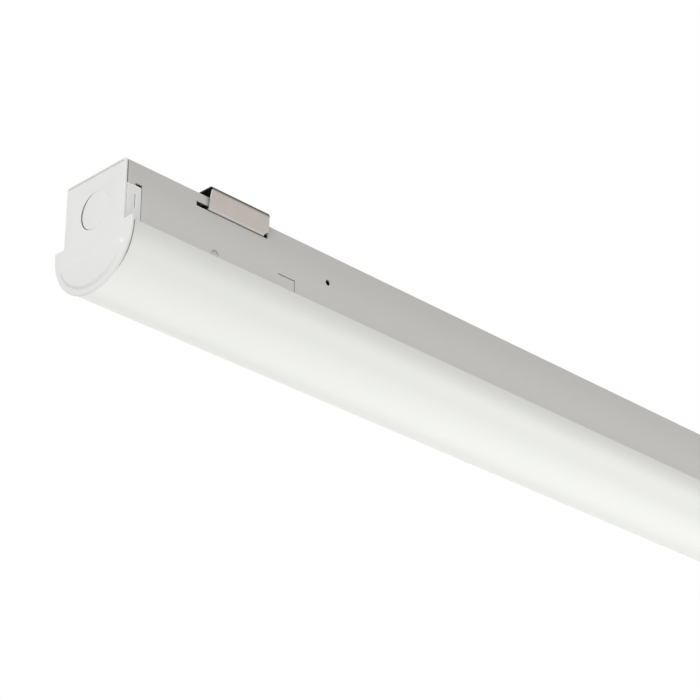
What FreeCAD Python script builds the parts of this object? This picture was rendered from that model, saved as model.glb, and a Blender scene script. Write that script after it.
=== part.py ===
import FreeCAD, Part
import math
import os

# A four foot LED strip light: a folded steel channel that hangs on two ceiling clips,
# with a gear tray under it, a frosted lens that grips the tray, and a moulded cap at each end.
# Millimetres. X runs along the light, Z is up, and the origin lies in the ceiling plane,
# midway between the centre screw holes of the two clips.

# Whole light
face_to_face = 1219.2
cut_overrun = 1.0
shortest_edge = 0.000001
lined_up_share = 0.9
small_sides = 10
lead_sides = 6
hex_sides = 6

# Channel: folded sheet, open downwards, with a short return along each lower edge
channel_width = 46.0
channel_height = 42.0
channel_sheet = 0.7
channel_bend = 0.6
return_width = 4.5

# Ceiling clip: spring strip over the channel, hooked into a slot in each side
clip_sheet = 0.9
clip_length = 42.2
clip_from_face = 55.4
clip_air = 4.8
clip_shoulder = 2.0
clip_bend = 1.4
clip_foot_bend = 0.3
clip_foot_air = 0.15
clip_foot_depth = 7.85
hook_reach = 3.6
clip_taper = 1.1
hook_length = 39.3
hook_notch_height = 2.8
hook_notch_slope = 1.6
clip_hole_radius = 2.75

# Slot in the channel side for the clip's hook
hook_slot_from_face = 47.8
hook_slot_length = 50.2
hook_slot_height = 2.8
hook_slot_depth = 7.2
hook_slot_corner = 0.3

# Other holes in the channel side, measured from the cap face and down from the top
weld_from_face = 61.5
weld_depth = 32.4
weld_radius = 3.0
lance_from_face = 105.8
lance_length = 12.5
lance_depth = 25.8
lance_height = 7.6
lance_kerf = 0.6
side_hole_from_face = 142.8
side_hole_depth = 17.6
side_hole_radius = 1.75

# Knockouts, for a half inch trade size conduit
knockout_radius = 11.1
knockout_slack = 0.5
knockout_touch = 0.1
knockout_tilt = 2.6
knockout_pivot_share = 0.5
knockout_tie_turn = 165.0
cap_knockout_depth = 22.0
cap_knockout_sheet = 1.1
back_knockout_spacing = 381.0

# End cap: moulded plate with side tabs let into the channel and a round skirt over the lens
cap_plate = 1.4
cap_corner = 1.2
cap_edge_bevel = 0.4
cap_shoulder_depth = 35.6
cap_round_radius = 30.0
cap_round_depth = 38.4
rim_height = 2.0
rim_proud = 0.35
pad_inset = 3.0
pad_top_depth = 45.6
pad_proud = 1.2
pad_slope = 1.6
pad_corner = 2.0
tab_top_depth = 13.8
tab_reach = 11.1
tab_thickness = 2.0
tab_corner = 1.0
tab_side_gap = 0.45
tab_top_gap = 0.15
tab_relief_length = 4.6
tab_relief_height = 1.3
tab_slit_from_face = 7.2
tab_slit_width = 0.6
tab_slit_depth = 19.0
tab_slit_height = 7.7
channel_end_gap = 0.8
tongue_width = 30.0
tongue_reach = 13.0
tongue_thickness = 1.6
tongue_air = 0.2
shelf_depth = 37.6
shelf_reach = 8.0
shelf_air = 0.4

# Lens: frosted extrusion with a leg inside each top edge
lens_wall = 1.2
lens_radius = 29.4
lens_top_depth = 37.0
lens_corner = 1.35
lens_leg_air = 0.3
lens_leg_depth = 47.0
lens_leg_bend = 0.5
lens_end_gap = 1.1
bead_radius = 0.6
bead_proud = 0.25
bead_depth = 44.9

# Gear tray: shallow pan under the channel's returns
tray_edge = 4.4
tray_end_gap = 1.0
groove_radius = 0.7
groove_sink = 0.35
grommet_radius = 3.2
grommet_x = 56.0
grommet_lip = 0.8
grommet_lip_height = 1.0
grommet_bore_radius = 2.5

# Cross straps in the channel that take the tray screws
strap_sheet = 1.2
strap_width = 14.0
strap_depth = 38.6
strap_leg = 10.6
strap_bend = 0.8

# Tray screws
screw_radius = 1.9
screw_air = 0.25
screw_length = 10.0
screw_y = 14.5
screw_head_radius = 3.6
screw_head_height = 2.4
screw_flange_radius = 4.2
screw_flange_height = 0.7

# LED boards, chips, rivets and connectors
board_width = 20.0
board_thickness = 1.6
board_end_gap = 8.0
board_middle_gap = 6.0
chip_length = 3.5
chip_width = 2.8
chip_height = 0.7
chip_count = 36
board_notch_air = 0.4
rivet_count = 3
rivet_first = 3
rivet_radius = 1.5
rivet_air = 0.15
rivet_head_radius = 3.0
rivet_head_height = 1.0
rivet_tail = 0.2
connector_length = 9.0
connector_width = 6.0
connector_height = 3.4
connector_bevel = 0.6
connector_y = 6.0
connector_entry_pitch = 2.6
feed_connector_x = 40.0

# Driver: two part sheet case with a circuit board and a terminal block at each end
driver_from_face = 309.6
driver_length = 280.0
driver_width = 30.0
driver_height = 21.0
driver_sheet = 0.6
driver_bend = 0.4
driver_ear = 10.0
driver_base_side = 7.0
driver_lift = 3.4
driver_gap = 0.15
driver_board_rise = 3.2
driver_board_sheet = 1.6
driver_post_radius = 2.2
coil_length = 26.0
coil_width = 20.0
coil_height = 12.0
capacitor_radius = 5.0
capacitor_height = 12.0
driver_screw_radius = 1.6
driver_screw_head_radius = 3.0
driver_screw_head_height = 1.8
driver_screw_y = 12.5
driver_screw_from_end = 5.0
driver_screw_length = 5.0
terminal_length = 8.0
terminal_width = 18.0
terminal_height = 9.0
terminal_rise = 4.0
terminal_entry_rise = 3.0
terminal_button_depth = 3.0

# Leads and supply connector
lead_radius = 1.0
lead_air = 0.05
lead_bend = 4.0
lead_pitch = 4.5
lead_straight = 14.0
lead_slant = 16.0
feed_straight = 20.0
plug_from_driver = 42.0
plug_length = 16.0
plug_width = 14.0
plug_height = 10.0
plug_nose_length = 8.0
plug_nose_width = 10.0
plug_nose_height = 6.0
plug_nose_air = 0.2
plug_rib_depth = 0.6
plug_rib_width = 1.0
plug_rib_count = 4
plug_entry_depth = 6.0
socket_entry_depth = 5.0
ground_screw_from_driver = 18.0
ground_screw_y = 13.0
ring_radius = 3.8
ring_sheet = 0.8
barrel_radius = 1.6
barrel_length = 5.0
barrel_lap = 1.2
barrel_entry = 1.6
ground_head_radius = 2.1

# Places worked out from the sizes above
half_length = face_to_face / 2
half_width = channel_width / 2
channel_top = -(clip_sheet + clip_air)
channel_end = half_length - cap_plate - channel_end_gap
channel_inside = half_width - channel_sheet
tray_top = channel_top - channel_height
tray_bottom = tray_top - channel_sheet
tray_half_length = half_length - cap_plate - tray_end_gap
lens_half_length = half_length - cap_plate - lens_end_gap
board_length = tray_half_length - board_end_gap - board_middle_gap / 2
board_middle = board_middle_gap / 2 + board_length / 2
chip_pitch = board_length / chip_count
board_bottom = tray_bottom - board_thickness
clip_middle = half_length - clip_from_face - clip_length / 2
strap_places = (-(half_length - weld_from_face), 0, half_length - weld_from_face)
driver_x = half_length - driver_from_face
driver_low_x = driver_x - driver_length / 2
driver_high_x = driver_x + driver_length / 2
driver_floor = tray_top + driver_lift
plug_x = driver_high_x + plug_from_driver
ground_screw_x = driver_high_x + ground_screw_from_driver
X_AXIS = FreeCAD.Vector(1, 0, 0)
Y_AXIS = FreeCAD.Vector(0, 1, 0)
Z_AXIS = FreeCAD.Vector(0, 0, 1)


def point(x, y, z):
    return FreeCAD.Vector(x, y, z)


def block(x_low, x_high, y_low, y_high, z_low, z_high):
    return Part.makeBox(
        x_high - x_low, y_high - y_low, z_high - z_low, point(x_low, y_low, z_low)
    )


def post(radius, x, y, z_low, z_high):
    return Part.makeCylinder(radius, z_high - z_low, point(x, y, z_low), Z_AXIS)


def many_sided(radius, sides, x, y, z_low, z_high):
    """An upright prism with flat sides, for a small fastener, its hole or a wire's bore."""
    turn = 2 * math.pi / sides
    corners = []
    for step in range(sides + 1):
        angle = (step + 0.5) * turn
        corners.append(point(x + radius * math.cos(angle), y + radius * math.sin(angle), z_low))
    return Part.Face(Part.makePolygon(corners)).extrude(point(0, 0, z_high - z_low))


def wire_bore(start, direction, length):
    """A bore that a lead fits into, from a point along a direction."""
    radius = (lead_radius + lead_air) / math.cos(math.pi / lead_sides)
    body = many_sided(radius, lead_sides, 0, 0, 0, length)
    body.Placement = FreeCAD.Placement(start, FreeCAD.Rotation(Z_AXIS, direction))
    return body


def prism(face, x_low, x_high):
    """Pulls a section that lies in the plane X = 0 along the light."""
    body = face.extrude(point(x_high - x_low, 0, 0))
    body.translate(point(x_low, 0, 0))
    return body


def cornered(low, high, y, bevel, depth):
    """A plate in the XZ plane from low to high corner, its corners taken off."""
    body = block(low[0], high[0], y - depth / 2, y + depth / 2, low[1], high[1])
    upright = [edge for edge in body.Edges if abs(edge.tangentAt(edge.FirstParameter).y) > lined_up_share]
    return body.makeChamfer(bevel, upright)


def turn_normal(along):
    """The direction in the YZ plane that lies to the left of another."""
    return point(0, -along.z, along.y)


def folded_section(path, thickness, radii):
    """Section of a folded strip: its middle line, and a middle-line radius for each fold."""
    left_edges = []
    right_edges = []
    start_left = start_right = None
    count = len(path)
    points = [point(0, y, z) for y, z in path]
    for index in range(1, count):
        along = points[index] - points[index - 1]
        along.normalize()
        normal = turn_normal(along)
        if start_left is None:
            start_left = points[0] + normal * (thickness / 2)
            start_right = points[0] - normal * (thickness / 2)
            first_pair = (start_left, start_right)
        if index == count - 1:
            end = points[index]
        else:
            after = points[index + 1] - points[index]
            after.normalize()
            turn = math.atan2(along.y * after.z - along.z * after.y, along.dot(after))
            radius = radii[index - 1]
            end = points[index] - along * (radius * math.tan(abs(turn) / 2))
        end_left = end + normal * (thickness / 2)
        end_right = end - normal * (thickness / 2)
        if (end_left - start_left).Length > shortest_edge:
            left_edges.append(Part.LineSegment(start_left, end_left).toShape())
            right_edges.append(Part.LineSegment(end_right, start_right).toShape())
        start_left, start_right = end_left, end_right
        if index < count - 1:
            side = math.copysign(radius, turn)
            centre = end + normal * side
            halfway = turn / 2
            middle_out = -(along * math.sin(-halfway) + normal * math.cos(halfway))
            after_normal = turn_normal(after)
            for offset, edges, start in (
                (thickness / 2, left_edges, start_left),
                (-thickness / 2, right_edges, start_right),
            ):
                reach = side - offset
                middle = centre + middle_out * reach
                stop = centre - after_normal * reach
                if edges is left_edges:
                    edges.append(Part.Arc(start, middle, stop).toShape())
                    start_left = stop
                else:
                    edges.append(Part.Arc(stop, middle, start).toShape())
                    start_right = stop
    closing = Part.LineSegment(start_left, start_right).toShape()
    opening = Part.LineSegment(first_pair[1], first_pair[0]).toShape()
    wire = Part.Wire(left_edges + [closing] + right_edges[::-1] + [opening])
    return Part.Face(wire)


def mirrored_path(half):
    """Completes a path that is given from its low Y end to the middle."""
    return half + [(-y, z) for y, z in half[::-1]]


def turned_about_z(body):
    """The same piece at the other end of the light."""
    copy = body.copy()
    copy.rotate(point(0, 0, 0), Z_AXIS, 180)
    return copy


def lead(points, bend):
    """A lead along straight runs joined by tangent arcs."""
    corners = [point(*place) for place in points]
    edges = []
    start = corners[0]
    for index in range(1, len(corners) - 1):
        before = corners[index] - corners[index - 1]
        after = corners[index + 1] - corners[index]
        before.normalize()
        after.normalize()
        turn = before.getAngle(after)
        cut = bend * math.tan(turn / 2)
        enter = corners[index] - before * cut
        leave = corners[index] + after * cut
        inward = after - before
        inward.normalize()
        centre = corners[index] + inward * (bend / math.cos(turn / 2))
        middle = centre - inward * bend
        edges.append(Part.LineSegment(start, enter).toShape())
        edges.append(Part.Arc(enter, middle, leave).toShape())
        start = leave
    edges.append(Part.LineSegment(start, corners[-1]).toShape())
    spine = Part.Wire(edges)
    heading = corners[1] - corners[0]
    ring = many_sided(lead_radius, lead_sides, 0, 0, 0, lead_radius).Faces[-2].OuterWire
    ring.Placement = FreeCAD.Placement(corners[0], FreeCAD.Rotation(Z_AXIS, heading))
    return spine.makePipeShell([ring], True, False)


def small_screw(x, y, seat, head_radius):
    """One of the driver's screws, point down: seat is the face under its head."""
    shank_low = seat - driver_screw_length
    shank = many_sided(driver_screw_radius, small_sides, x, y, shank_low, seat)
    head = many_sided(head_radius, small_sides, x, y, seat, seat + driver_screw_head_height)
    return shank.fuse(head).removeSplitter()


def make_channel():
    middle = half_width - channel_sheet / 2
    low = tray_top + channel_sheet / 2
    high = channel_top - channel_sheet / 2
    fold = channel_bend + channel_sheet / 2
    path = mirrored_path([(-(half_width - return_width), low), (-middle, low), (-middle, high)])
    section = folded_section(path, channel_sheet, [fold] * 4)
    body = prism(section, -channel_end, channel_end)
    cuts = []
    for end in (-1, 1):
        for side in (-1, 1):
            cuts += side_cuts(end, side)
    cuts += back_cuts()
    cuts += [side_hole(weld_radius, x, side, weld_depth) for x in strap_places for side in (-1, 1)]
    return body.cut(Part.makeCompound(cuts))


def along_from_face(end, distance):
    return end * (half_length - distance)


def span(end, start, length):
    """Low and high X of a stretch that starts at a distance from the cap face."""
    return sorted((along_from_face(end, start), along_from_face(end, start + length)))


def side_hole(radius, x, side, depth):
    """A round hole through one side of the channel, at a depth below its top."""
    reach = channel_sheet / 2 + cut_overrun
    hole = many_sided(radius, small_sides, 0, 0, -reach, reach)
    middle = point(x, side * (half_width - channel_sheet / 2), channel_top - depth)
    hole.Placement = FreeCAD.Placement(middle, FreeCAD.Rotation(Z_AXIS, Y_AXIS))
    return hole


def side_cuts(end, side):
    """The holes near one end of one side of the channel."""
    y = side * (half_width - channel_sheet / 2)
    through = channel_sheet + 2 * cut_overrun
    low, high = span(end, hook_slot_from_face, hook_slot_length)
    slot_middle = channel_top - hook_slot_depth
    slot = cornered(
        (low, slot_middle - hook_slot_height / 2),
        (high, slot_middle + hook_slot_height / 2),
        y, hook_slot_corner, through,
    )
    hole_x = along_from_face(end, side_hole_from_face)
    hole = side_hole(side_hole_radius, hole_x, side, side_hole_depth)
    y_low, y_high = y - through / 2, y + through / 2
    low, high = span(end, lance_from_face, lance_length)
    lance_top = channel_top - lance_depth
    lance_run = block(low, high, y_low, y_high, lance_top - lance_kerf, lance_top)
    low, high = span(end, lance_from_face + lance_length - lance_kerf, lance_kerf)
    lance_drop = block(low, high, y_low, y_high, lance_top - lance_height, lance_top)
    low, high = span(end, -cut_overrun, tab_reach + tab_side_gap + cut_overrun)
    recess_top = channel_top - tab_top_depth + tab_top_gap
    recess_bottom = channel_top - cap_shoulder_depth - tab_top_gap
    recess = block(low, high, y_low, y_high, recess_bottom, recess_top)
    low, high = span(end, tab_reach + tab_side_gap - tab_relief_length, tab_relief_length)
    relief = block(
        low, high, y_low, y_high, recess_top - cut_overrun, recess_top + tab_relief_height
    )
    return [slot, hole, lance_run, lance_drop, recess, relief]


def back_cuts():
    """Knockout openings in the top of the channel."""
    low = channel_top - channel_sheet - cut_overrun
    high = channel_top + cut_overrun
    return [post(knockout_radius, step * back_knockout_spacing, 0, low, high) for step in (-1, 0, 1)]


def make_strap(x):
    middle = channel_inside - strap_sheet / 2
    low = channel_top - strap_depth
    path = [(-middle, low + strap_leg), (-middle, low), (middle, low), (middle, low + strap_leg)]
    fold = strap_bend + strap_sheet / 2
    section = folded_section(path, strap_sheet, [fold] * 2)
    body = prism(section, x - strap_width / 2, x + strap_width / 2)
    hole_low = low - strap_sheet / 2 - cut_overrun
    hole_high = low + strap_sheet / 2 + cut_overrun
    for side in (-1, 1):
        body = body.cut(screw_hole(x, side * screw_y, hole_low, hole_high))
    return body


def screw_hole(x, y, z_low, z_high):
    return many_sided(screw_radius + screw_air, small_sides, x, y, z_low, z_high)


def knockout_disc(sheet):
    """A punched disc that lies in the XY plane, its top at zero."""
    return post(knockout_radius - knockout_slack, 0, 0, -sheet, 0)


def make_back_knockouts():
    discs = []
    for step in (-1, 0, 1):
        disc = knockout_disc(channel_sheet)
        shift = knockout_slack - knockout_touch
        disc.translate(point(step * back_knockout_spacing + shift, 0, channel_top))
        discs.append(disc)
    return Part.makeCompound(discs)


def make_cap_knockout():
    """The disc in the near cap, still held at its tie and pushed in at the far edge."""
    radius = knockout_radius - knockout_slack
    disc = knockout_disc(cap_knockout_sheet)
    disc.rotate(point(-radius * knockout_pivot_share, 0, 0), Y_AXIS, knockout_tilt)
    disc.translate(point(-(knockout_slack - knockout_touch), 0, 0))
    disc.rotate(point(0, 0, 0), Z_AXIS, -90 - knockout_tie_turn)
    disc.rotate(point(0, 0, 0), Y_AXIS, -90)
    disc.translate(point(-half_length, 0, channel_top - cap_knockout_depth))
    return disc


def cap_outline():
    """The face of the end cap: a square top over a wider round skirt."""
    top = channel_top
    shoulder = channel_top - cap_shoulder_depth
    centre = channel_top - cap_round_depth
    width = cap_round_radius
    spots = [
        point(0, half_width, shoulder),
        point(0, half_width, top),
        point(0, -half_width, top),
        point(0, -half_width, shoulder),
        point(0, -width, shoulder),
        point(0, -width, centre),
    ]
    edges = [Part.LineSegment(first, second).toShape() for first, second in zip(spots, spots[1:])]
    bottom = point(0, 0, centre - cap_round_radius)
    edges.append(Part.Arc(spots[-1], bottom, point(0, width, centre)).toShape())
    edges.append(Part.LineSegment(point(0, width, centre), point(0, width, shoulder)).toShape())
    edges.append(Part.LineSegment(point(0, width, shoulder), spots[0]).toShape())
    return Part.Face(Part.Wire(edges))


def pad_outline(inset, x):
    """A chord cut from the round skirt, with its two corners rounded."""
    centre = channel_top - cap_round_depth
    radius = cap_round_radius - pad_inset - inset
    top = channel_top - pad_top_depth - inset
    reach = math.sqrt(radius**2 - (centre - top) ** 2)
    left = point(x, -reach, top)
    right = point(x, reach, top)
    bottom = point(x, 0, centre - radius)
    wire = Part.Wire(
        [Part.LineSegment(right, left).toShape(), Part.Arc(left, bottom, right).toShape()]
    )
    return wire


def make_pad(face_x):
    """The softly raised lower part of the cap's face."""
    pad = Part.makeLoft([pad_outline(0, face_x), pad_outline(pad_slope, face_x - pad_proud)], True)
    sharp = [
        edge for edge in pad.Edges
        if edge.BoundBox.XLength > pad_proud / 2
    ]
    return pad.makeFillet(pad_corner, sharp)


def make_cap():
    """The near cap, in its own place at the low X end."""
    face_x = -half_length
    body = prism(cap_outline(), face_x, face_x + cap_plate)
    corners = [
        edge for edge in body.Edges
        if edge.BoundBox.XLength > cap_plate / 2 and edge.BoundBox.ZMax > channel_top - cap_corner
    ]
    body = body.makeFillet(cap_corner, corners)
    outer = [
        edge for edge in body.Edges
        if edge.BoundBox.XMax < face_x + cap_plate / 2
    ]
    body = body.makeChamfer(cap_edge_bevel, outer)
    body = body.fuse(make_pad(face_x))
    rim = block(
        face_x - rim_proud, face_x + cap_edge_bevel + cap_plate / 2,
        -(half_width - cap_corner), half_width - cap_corner,
        channel_top - rim_height, channel_top - cap_edge_bevel,
    )
    body = body.fuse(rim)
    eye = Part.makeCylinder(
        knockout_radius,
        cap_plate + 2 * cut_overrun,
        point(face_x - cut_overrun, 0, channel_top - cap_knockout_depth),
        X_AXIS,
    )
    body = body.cut(eye)
    inner = face_x + cap_plate
    for side in (-1, 1):
        body = body.fuse(cap_tab(side, inner))
    tongue_top = channel_top - channel_sheet - tongue_air
    tongue = block(
        inner, face_x + tongue_reach, -tongue_width / 2, tongue_width / 2,
        tongue_top - tongue_thickness, tongue_top,
    )
    shelf_top = channel_top - shelf_depth
    shelf_side = channel_inside - shelf_air
    shelf = block(
        inner, face_x + shelf_reach, -shelf_side, shelf_side,
        shelf_top - tongue_thickness, shelf_top,
    )
    return body.fuse(tongue).fuse(shelf).removeSplitter()


def cap_tab(side, inner):
    """A snap tab, flush with the outside of the channel and split by a slit."""
    face_x = -half_length
    y = side * (half_width - tab_thickness / 2)
    top = channel_top - tab_top_depth
    bottom = channel_top - cap_shoulder_depth
    body = block(
        inner, face_x + tab_reach, y - tab_thickness / 2, y + tab_thickness / 2, bottom, top
    )
    tip = [
        edge for edge in body.Edges
        if edge.BoundBox.YLength > tab_thickness / 2
        and edge.BoundBox.XMin > face_x + tab_reach / 2
        and edge.BoundBox.ZMin > (top + bottom) / 2
    ]
    body = body.makeChamfer(tab_corner, tip)
    slit_x = face_x + tab_slit_from_face
    slit_top = channel_top - tab_slit_depth
    slit = block(
        slit_x - tab_slit_width / 2, slit_x + tab_slit_width / 2,
        y - tab_thickness / 2 - cut_overrun, y + tab_thickness / 2 + cut_overrun,
        slit_top - tab_slit_height, slit_top,
    )
    return body.cut(slit)


def make_lens():
    leg = half_width + lens_leg_air + lens_wall / 2
    side = lens_radius - lens_wall / 2
    top = channel_top - lens_top_depth - lens_wall / 2
    low = channel_top - lens_leg_depth
    bottom = channel_top - cap_round_depth - side
    corner = lens_corner - lens_wall / 2
    leg_fold = lens_leg_bend + lens_wall / 2
    path = [(-leg, low), (-leg, top), (-side, top), (-side, bottom)]
    path += [(-y, z) for y, z in path[::-1]]
    radii = [leg_fold, corner, side, side, corner, leg_fold]
    section = folded_section(path, lens_wall, radii)
    body = prism(section, -lens_half_length, lens_half_length)
    for way in (-1, 1):
        y = way * (half_width + lens_leg_air - bead_proud + bead_radius)
        bead = Part.makeCylinder(
            bead_radius,
            2 * lens_half_length,
            point(-lens_half_length, y, channel_top - bead_depth),
            X_AXIS,
        )
        body = body.fuse(bead)
    return body.removeSplitter()


def make_tray():
    middle = half_width - channel_sheet / 2
    plate = tray_top - channel_sheet / 2
    fold = channel_bend + channel_sheet / 2
    path = mirrored_path([(-middle, tray_top - tray_edge), (-middle, plate)])
    body = prism(folded_section(path, channel_sheet, [fold] * 2), -tray_half_length, tray_half_length)
    for way in (-1, 1):
        groove = Part.makeCylinder(
            groove_radius,
            2 * tray_half_length + 2 * cut_overrun,
            point(
                -tray_half_length - cut_overrun,
                way * (half_width - groove_sink + groove_radius),
                channel_top - bead_depth,
            ),
            X_AXIS,
        )
        body = body.cut(groove)
    low = tray_bottom - cut_overrun
    high = tray_top + cut_overrun
    cuts = []
    for x in strap_places:
        for side in (-1, 1):
            cuts.append(screw_hole(x, side * screw_y, low, high))
    for x, y in driver_screw_spots() + [(ground_screw_x, ground_screw_y)]:
        cuts.append(many_sided(driver_screw_radius, small_sides, x, y, low, high))
    for x in rivet_spots():
        cuts.append(rivet_hole(x, low, high))
    cuts.append(grommet_ring(grommet_radius, low, high))
    return body.cut(Part.makeCompound(cuts))


def rivet_hole(x, z_low, z_high):
    return many_sided(rivet_radius + rivet_air, small_sides, x, 0, z_low, z_high)


def driver_screw_spots():
    spots = []
    for x in (driver_low_x + driver_screw_from_end, driver_high_x - driver_screw_from_end):
        for side in (-1, 1):
            spots.append((x, side * driver_screw_y))
    return spots


def chip_spots(end):
    """Centres of the chips of one board."""
    start = end * board_middle - board_length / 2 + chip_pitch / 2
    return [start + index * chip_pitch for index in range(chip_count)]


def rivet_spots():
    """Rivets lie midway between two chips, evenly along each board."""
    spots = []
    for end in (-1, 1):
        chips = chip_spots(end)
        for index in range(rivet_count):
            step = rivet_first + index * (chip_count - 2 * rivet_first) // (rivet_count - 1)
            spots.append(chips[step] + chip_pitch / 2)
    return spots


def make_tray_screws():
    screws = []
    for x in strap_places:
        for side in (-1, 1):
            y = side * screw_y
            seat = tray_bottom - screw_flange_height
            head_low = seat - screw_head_height
            shank_high = tray_bottom + screw_length
            screw = many_sided(screw_radius, small_sides, x, y, tray_bottom, shank_high)
            flange = many_sided(screw_flange_radius, small_sides, x, y, seat, tray_bottom)
            head = many_sided(screw_head_radius, hex_sides, x, y, head_low, seat)
            screws.append(screw.fuse(flange).fuse(head).removeSplitter())
    return Part.makeCompound(screws)


def make_board(end):
    low = end * board_middle - board_length / 2
    body = block(
        low, low + board_length, -board_width / 2, board_width / 2, board_bottom, tray_bottom
    )
    cut_low = board_bottom - cut_overrun
    cut_high = tray_bottom + cut_overrun
    for x in rivet_spots():
        if abs(x - end * board_middle) < board_length / 2:
            body = body.cut(rivet_hole(x, cut_low, cut_high))
    if end > 0:
        reach = grommet_radius + grommet_lip + board_notch_air
        notch = block(
            grommet_x - reach, grommet_x + reach, connector_y - reach, board_width,
            cut_low, cut_high,
        )
        body = body.cut(notch)
    return body


def make_chips(end):
    chips = []
    for x in chip_spots(end):
        chips.append(
            block(
                x - chip_length / 2, x + chip_length / 2, -chip_width / 2, chip_width / 2,
                board_bottom - chip_height, board_bottom,
            )
        )
    return Part.makeCompound(chips)


def make_rivets():
    rivets = []
    for x in rivet_spots():
        head_low = board_bottom - rivet_head_height
        stem = many_sided(rivet_radius, small_sides, x, 0, board_bottom, tray_top + rivet_tail)
        head = many_sided(rivet_head_radius, small_sides, x, 0, head_low, board_bottom)
        rivets.append(head.fuse(stem).removeSplitter())
    return Part.makeCompound(rivets)


def make_connector(x, faces):
    """A poke-in connector block under a board, its two entries in one end."""
    top = board_bottom
    body = block(
        x - connector_length / 2, x + connector_length / 2,
        connector_y - connector_width / 2, connector_y + connector_width / 2,
        top - connector_height, top,
    )
    lower = [
        edge for edge in body.Edges
        if edge.BoundBox.XLength > connector_length / 2 and edge.BoundBox.ZMax < top - connector_height / 2
    ]
    body = body.makeChamfer(connector_bevel, lower)
    for y in entry_rows():
        start = point(x, y, entry_height())
        body = body.cut(wire_bore(start, X_AXIS * faces, connector_length))
    return body


def jumper_x(end):
    return end * (board_middle_gap + connector_length) / 2


def entry_rows():
    return [connector_y + side * connector_entry_pitch / 2 for side in (-1, 1)]


def entry_height():
    return board_bottom - connector_height / 2


def make_jumpers():
    """Two short straight leads between the boards."""
    low = jumper_x(-1)
    high = jumper_x(1)
    jumpers = []
    for y in entry_rows():
        start = point(low, y, entry_height())
        jumper = many_sided(lead_radius, lead_sides, 0, 0, 0, high - low)
        jumper.Placement = FreeCAD.Placement(start, FreeCAD.Rotation(Z_AXIS, X_AXIS))
        jumpers.append(jumper)
    return Part.makeCompound(jumpers)


def grommet_ring(radius, z_low, z_high):
    return many_sided(radius, small_sides, grommet_x, connector_y, z_low, z_high)


def make_grommet():
    body = grommet_ring(grommet_radius, tray_bottom, tray_top)
    for low, high in (
        (tray_top, tray_top + grommet_lip_height),
        (tray_bottom - grommet_lip_height, tray_bottom),
    ):
        body = body.fuse(grommet_ring(grommet_radius + grommet_lip, low, high))
    low = tray_bottom - grommet_lip_height - cut_overrun
    high = tray_top + grommet_lip_height + cut_overrun
    return body.cut(grommet_ring(grommet_bore_radius, low, high)).removeSplitter()


def make_driver_base():
    """Lower half of the driver case, with a stepped ear at each end for its screws."""
    middle = driver_width / 2 - driver_sheet - driver_gap - driver_sheet / 2
    low = driver_floor + driver_sheet / 2
    fold = driver_bend + driver_sheet / 2
    path = mirrored_path([(-middle, low + driver_base_side), (-middle, low)])
    section = folded_section(path, driver_sheet, [fold] * 2)
    body = prism(section, driver_low_x + driver_ear, driver_high_x - driver_ear)
    half_ear = middle - fold
    for end in (-1, 1):
        outer = driver_x + end * driver_length / 2
        inner = outer - end * driver_ear
        low_x, high_x = sorted((outer, inner))
        ear = block(
            low_x, high_x, -driver_width / 2, driver_width / 2, tray_top, tray_top + driver_sheet
        )
        low_x, high_x = sorted((inner, inner + end * driver_sheet))
        riser = block(low_x, high_x, -half_ear, half_ear, tray_top, driver_floor + driver_sheet)
        body = body.fuse(ear).fuse(riser)
    for x, y in driver_screw_spots():
        low = tray_top - cut_overrun
        high = tray_top + driver_sheet + cut_overrun
        body = body.cut(many_sided(driver_screw_radius, small_sides, x, y, low, high))
    return body.removeSplitter()


def make_driver_cover():
    """Upper half of the driver case, closed at its ends but for the terminal openings."""
    middle = driver_width / 2 - driver_sheet / 2
    top = driver_floor + driver_height
    fold = driver_bend + driver_sheet / 2
    path = mirrored_path([(-middle, driver_floor), (-middle, top - driver_sheet / 2)])
    section = folded_section(path, driver_sheet, [fold] * 2)
    low_x = driver_low_x + driver_ear
    high_x = driver_high_x - driver_ear
    body = prism(section, low_x, high_x)
    inside = driver_width / 2 - driver_sheet
    lip = driver_gap + 2 * driver_sheet
    for wall_x in (low_x, high_x - driver_sheet):
        ends = (wall_x, wall_x + driver_sheet)
        wall = block(*ends, -inside, inside, driver_floor + lip, top - driver_sheet)
        low, high = terminal_heights()
        half = terminal_width / 2 + driver_gap
        window = block(*ends, -half, half, driver_floor, high + driver_gap)
        wall = wall.cut(window)
        for side in (-1, 1):
            notch_low, notch_high = sorted((side * (inside - lip), side * inside))
            notch_top = driver_floor + driver_base_side + lip
            wall = wall.cut(block(*ends, notch_low, notch_high, driver_floor, notch_top))
        body = body.fuse(wall)
    return body.removeSplitter()


def make_driver_board():
    """Circuit board on four posts, with its coil and capacitors."""
    clear = driver_ear + terminal_length + driver_sheet
    low_x = driver_low_x + clear
    high_x = driver_high_x - clear
    width = driver_width / 2 - 3 * driver_sheet - driver_gap
    floor = driver_floor + driver_sheet
    low = floor + driver_board_rise
    high = low + driver_board_sheet
    body = block(low_x, high_x, -width, width, low, high)
    inset = 2 * driver_post_radius
    for x in (low_x + inset, high_x - inset):
        for y in (-width + inset, width - inset):
            body = body.fuse(many_sided(driver_post_radius, hex_sides, x, y, floor, low))
    coil = block(
        driver_x - coil_length / 2, driver_x + coil_length / 2, -coil_width / 2, coil_width / 2,
        high, high + coil_height,
    )
    body = body.fuse(coil)
    for step in (-1, 1):
        x = driver_x + step * driver_length / 4
        top = high + capacitor_height
        body = body.fuse(many_sided(capacitor_radius, small_sides, x, 0, high, top))
    return body.removeSplitter()


def terminal_heights():
    low = driver_floor + driver_sheet + terminal_rise
    return low, low + terminal_height


def lead_rows(count):
    return [(index - (count - 1) / 2) * lead_pitch for index in range(count)]


def driver_mouth(end):
    """Where leads end inside a terminal block: its middle, and the height of its entries."""
    outer = driver_x + end * (driver_length / 2 - driver_ear)
    low, high = terminal_heights()
    return outer - end * terminal_length / 2, low + terminal_entry_rise


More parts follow.
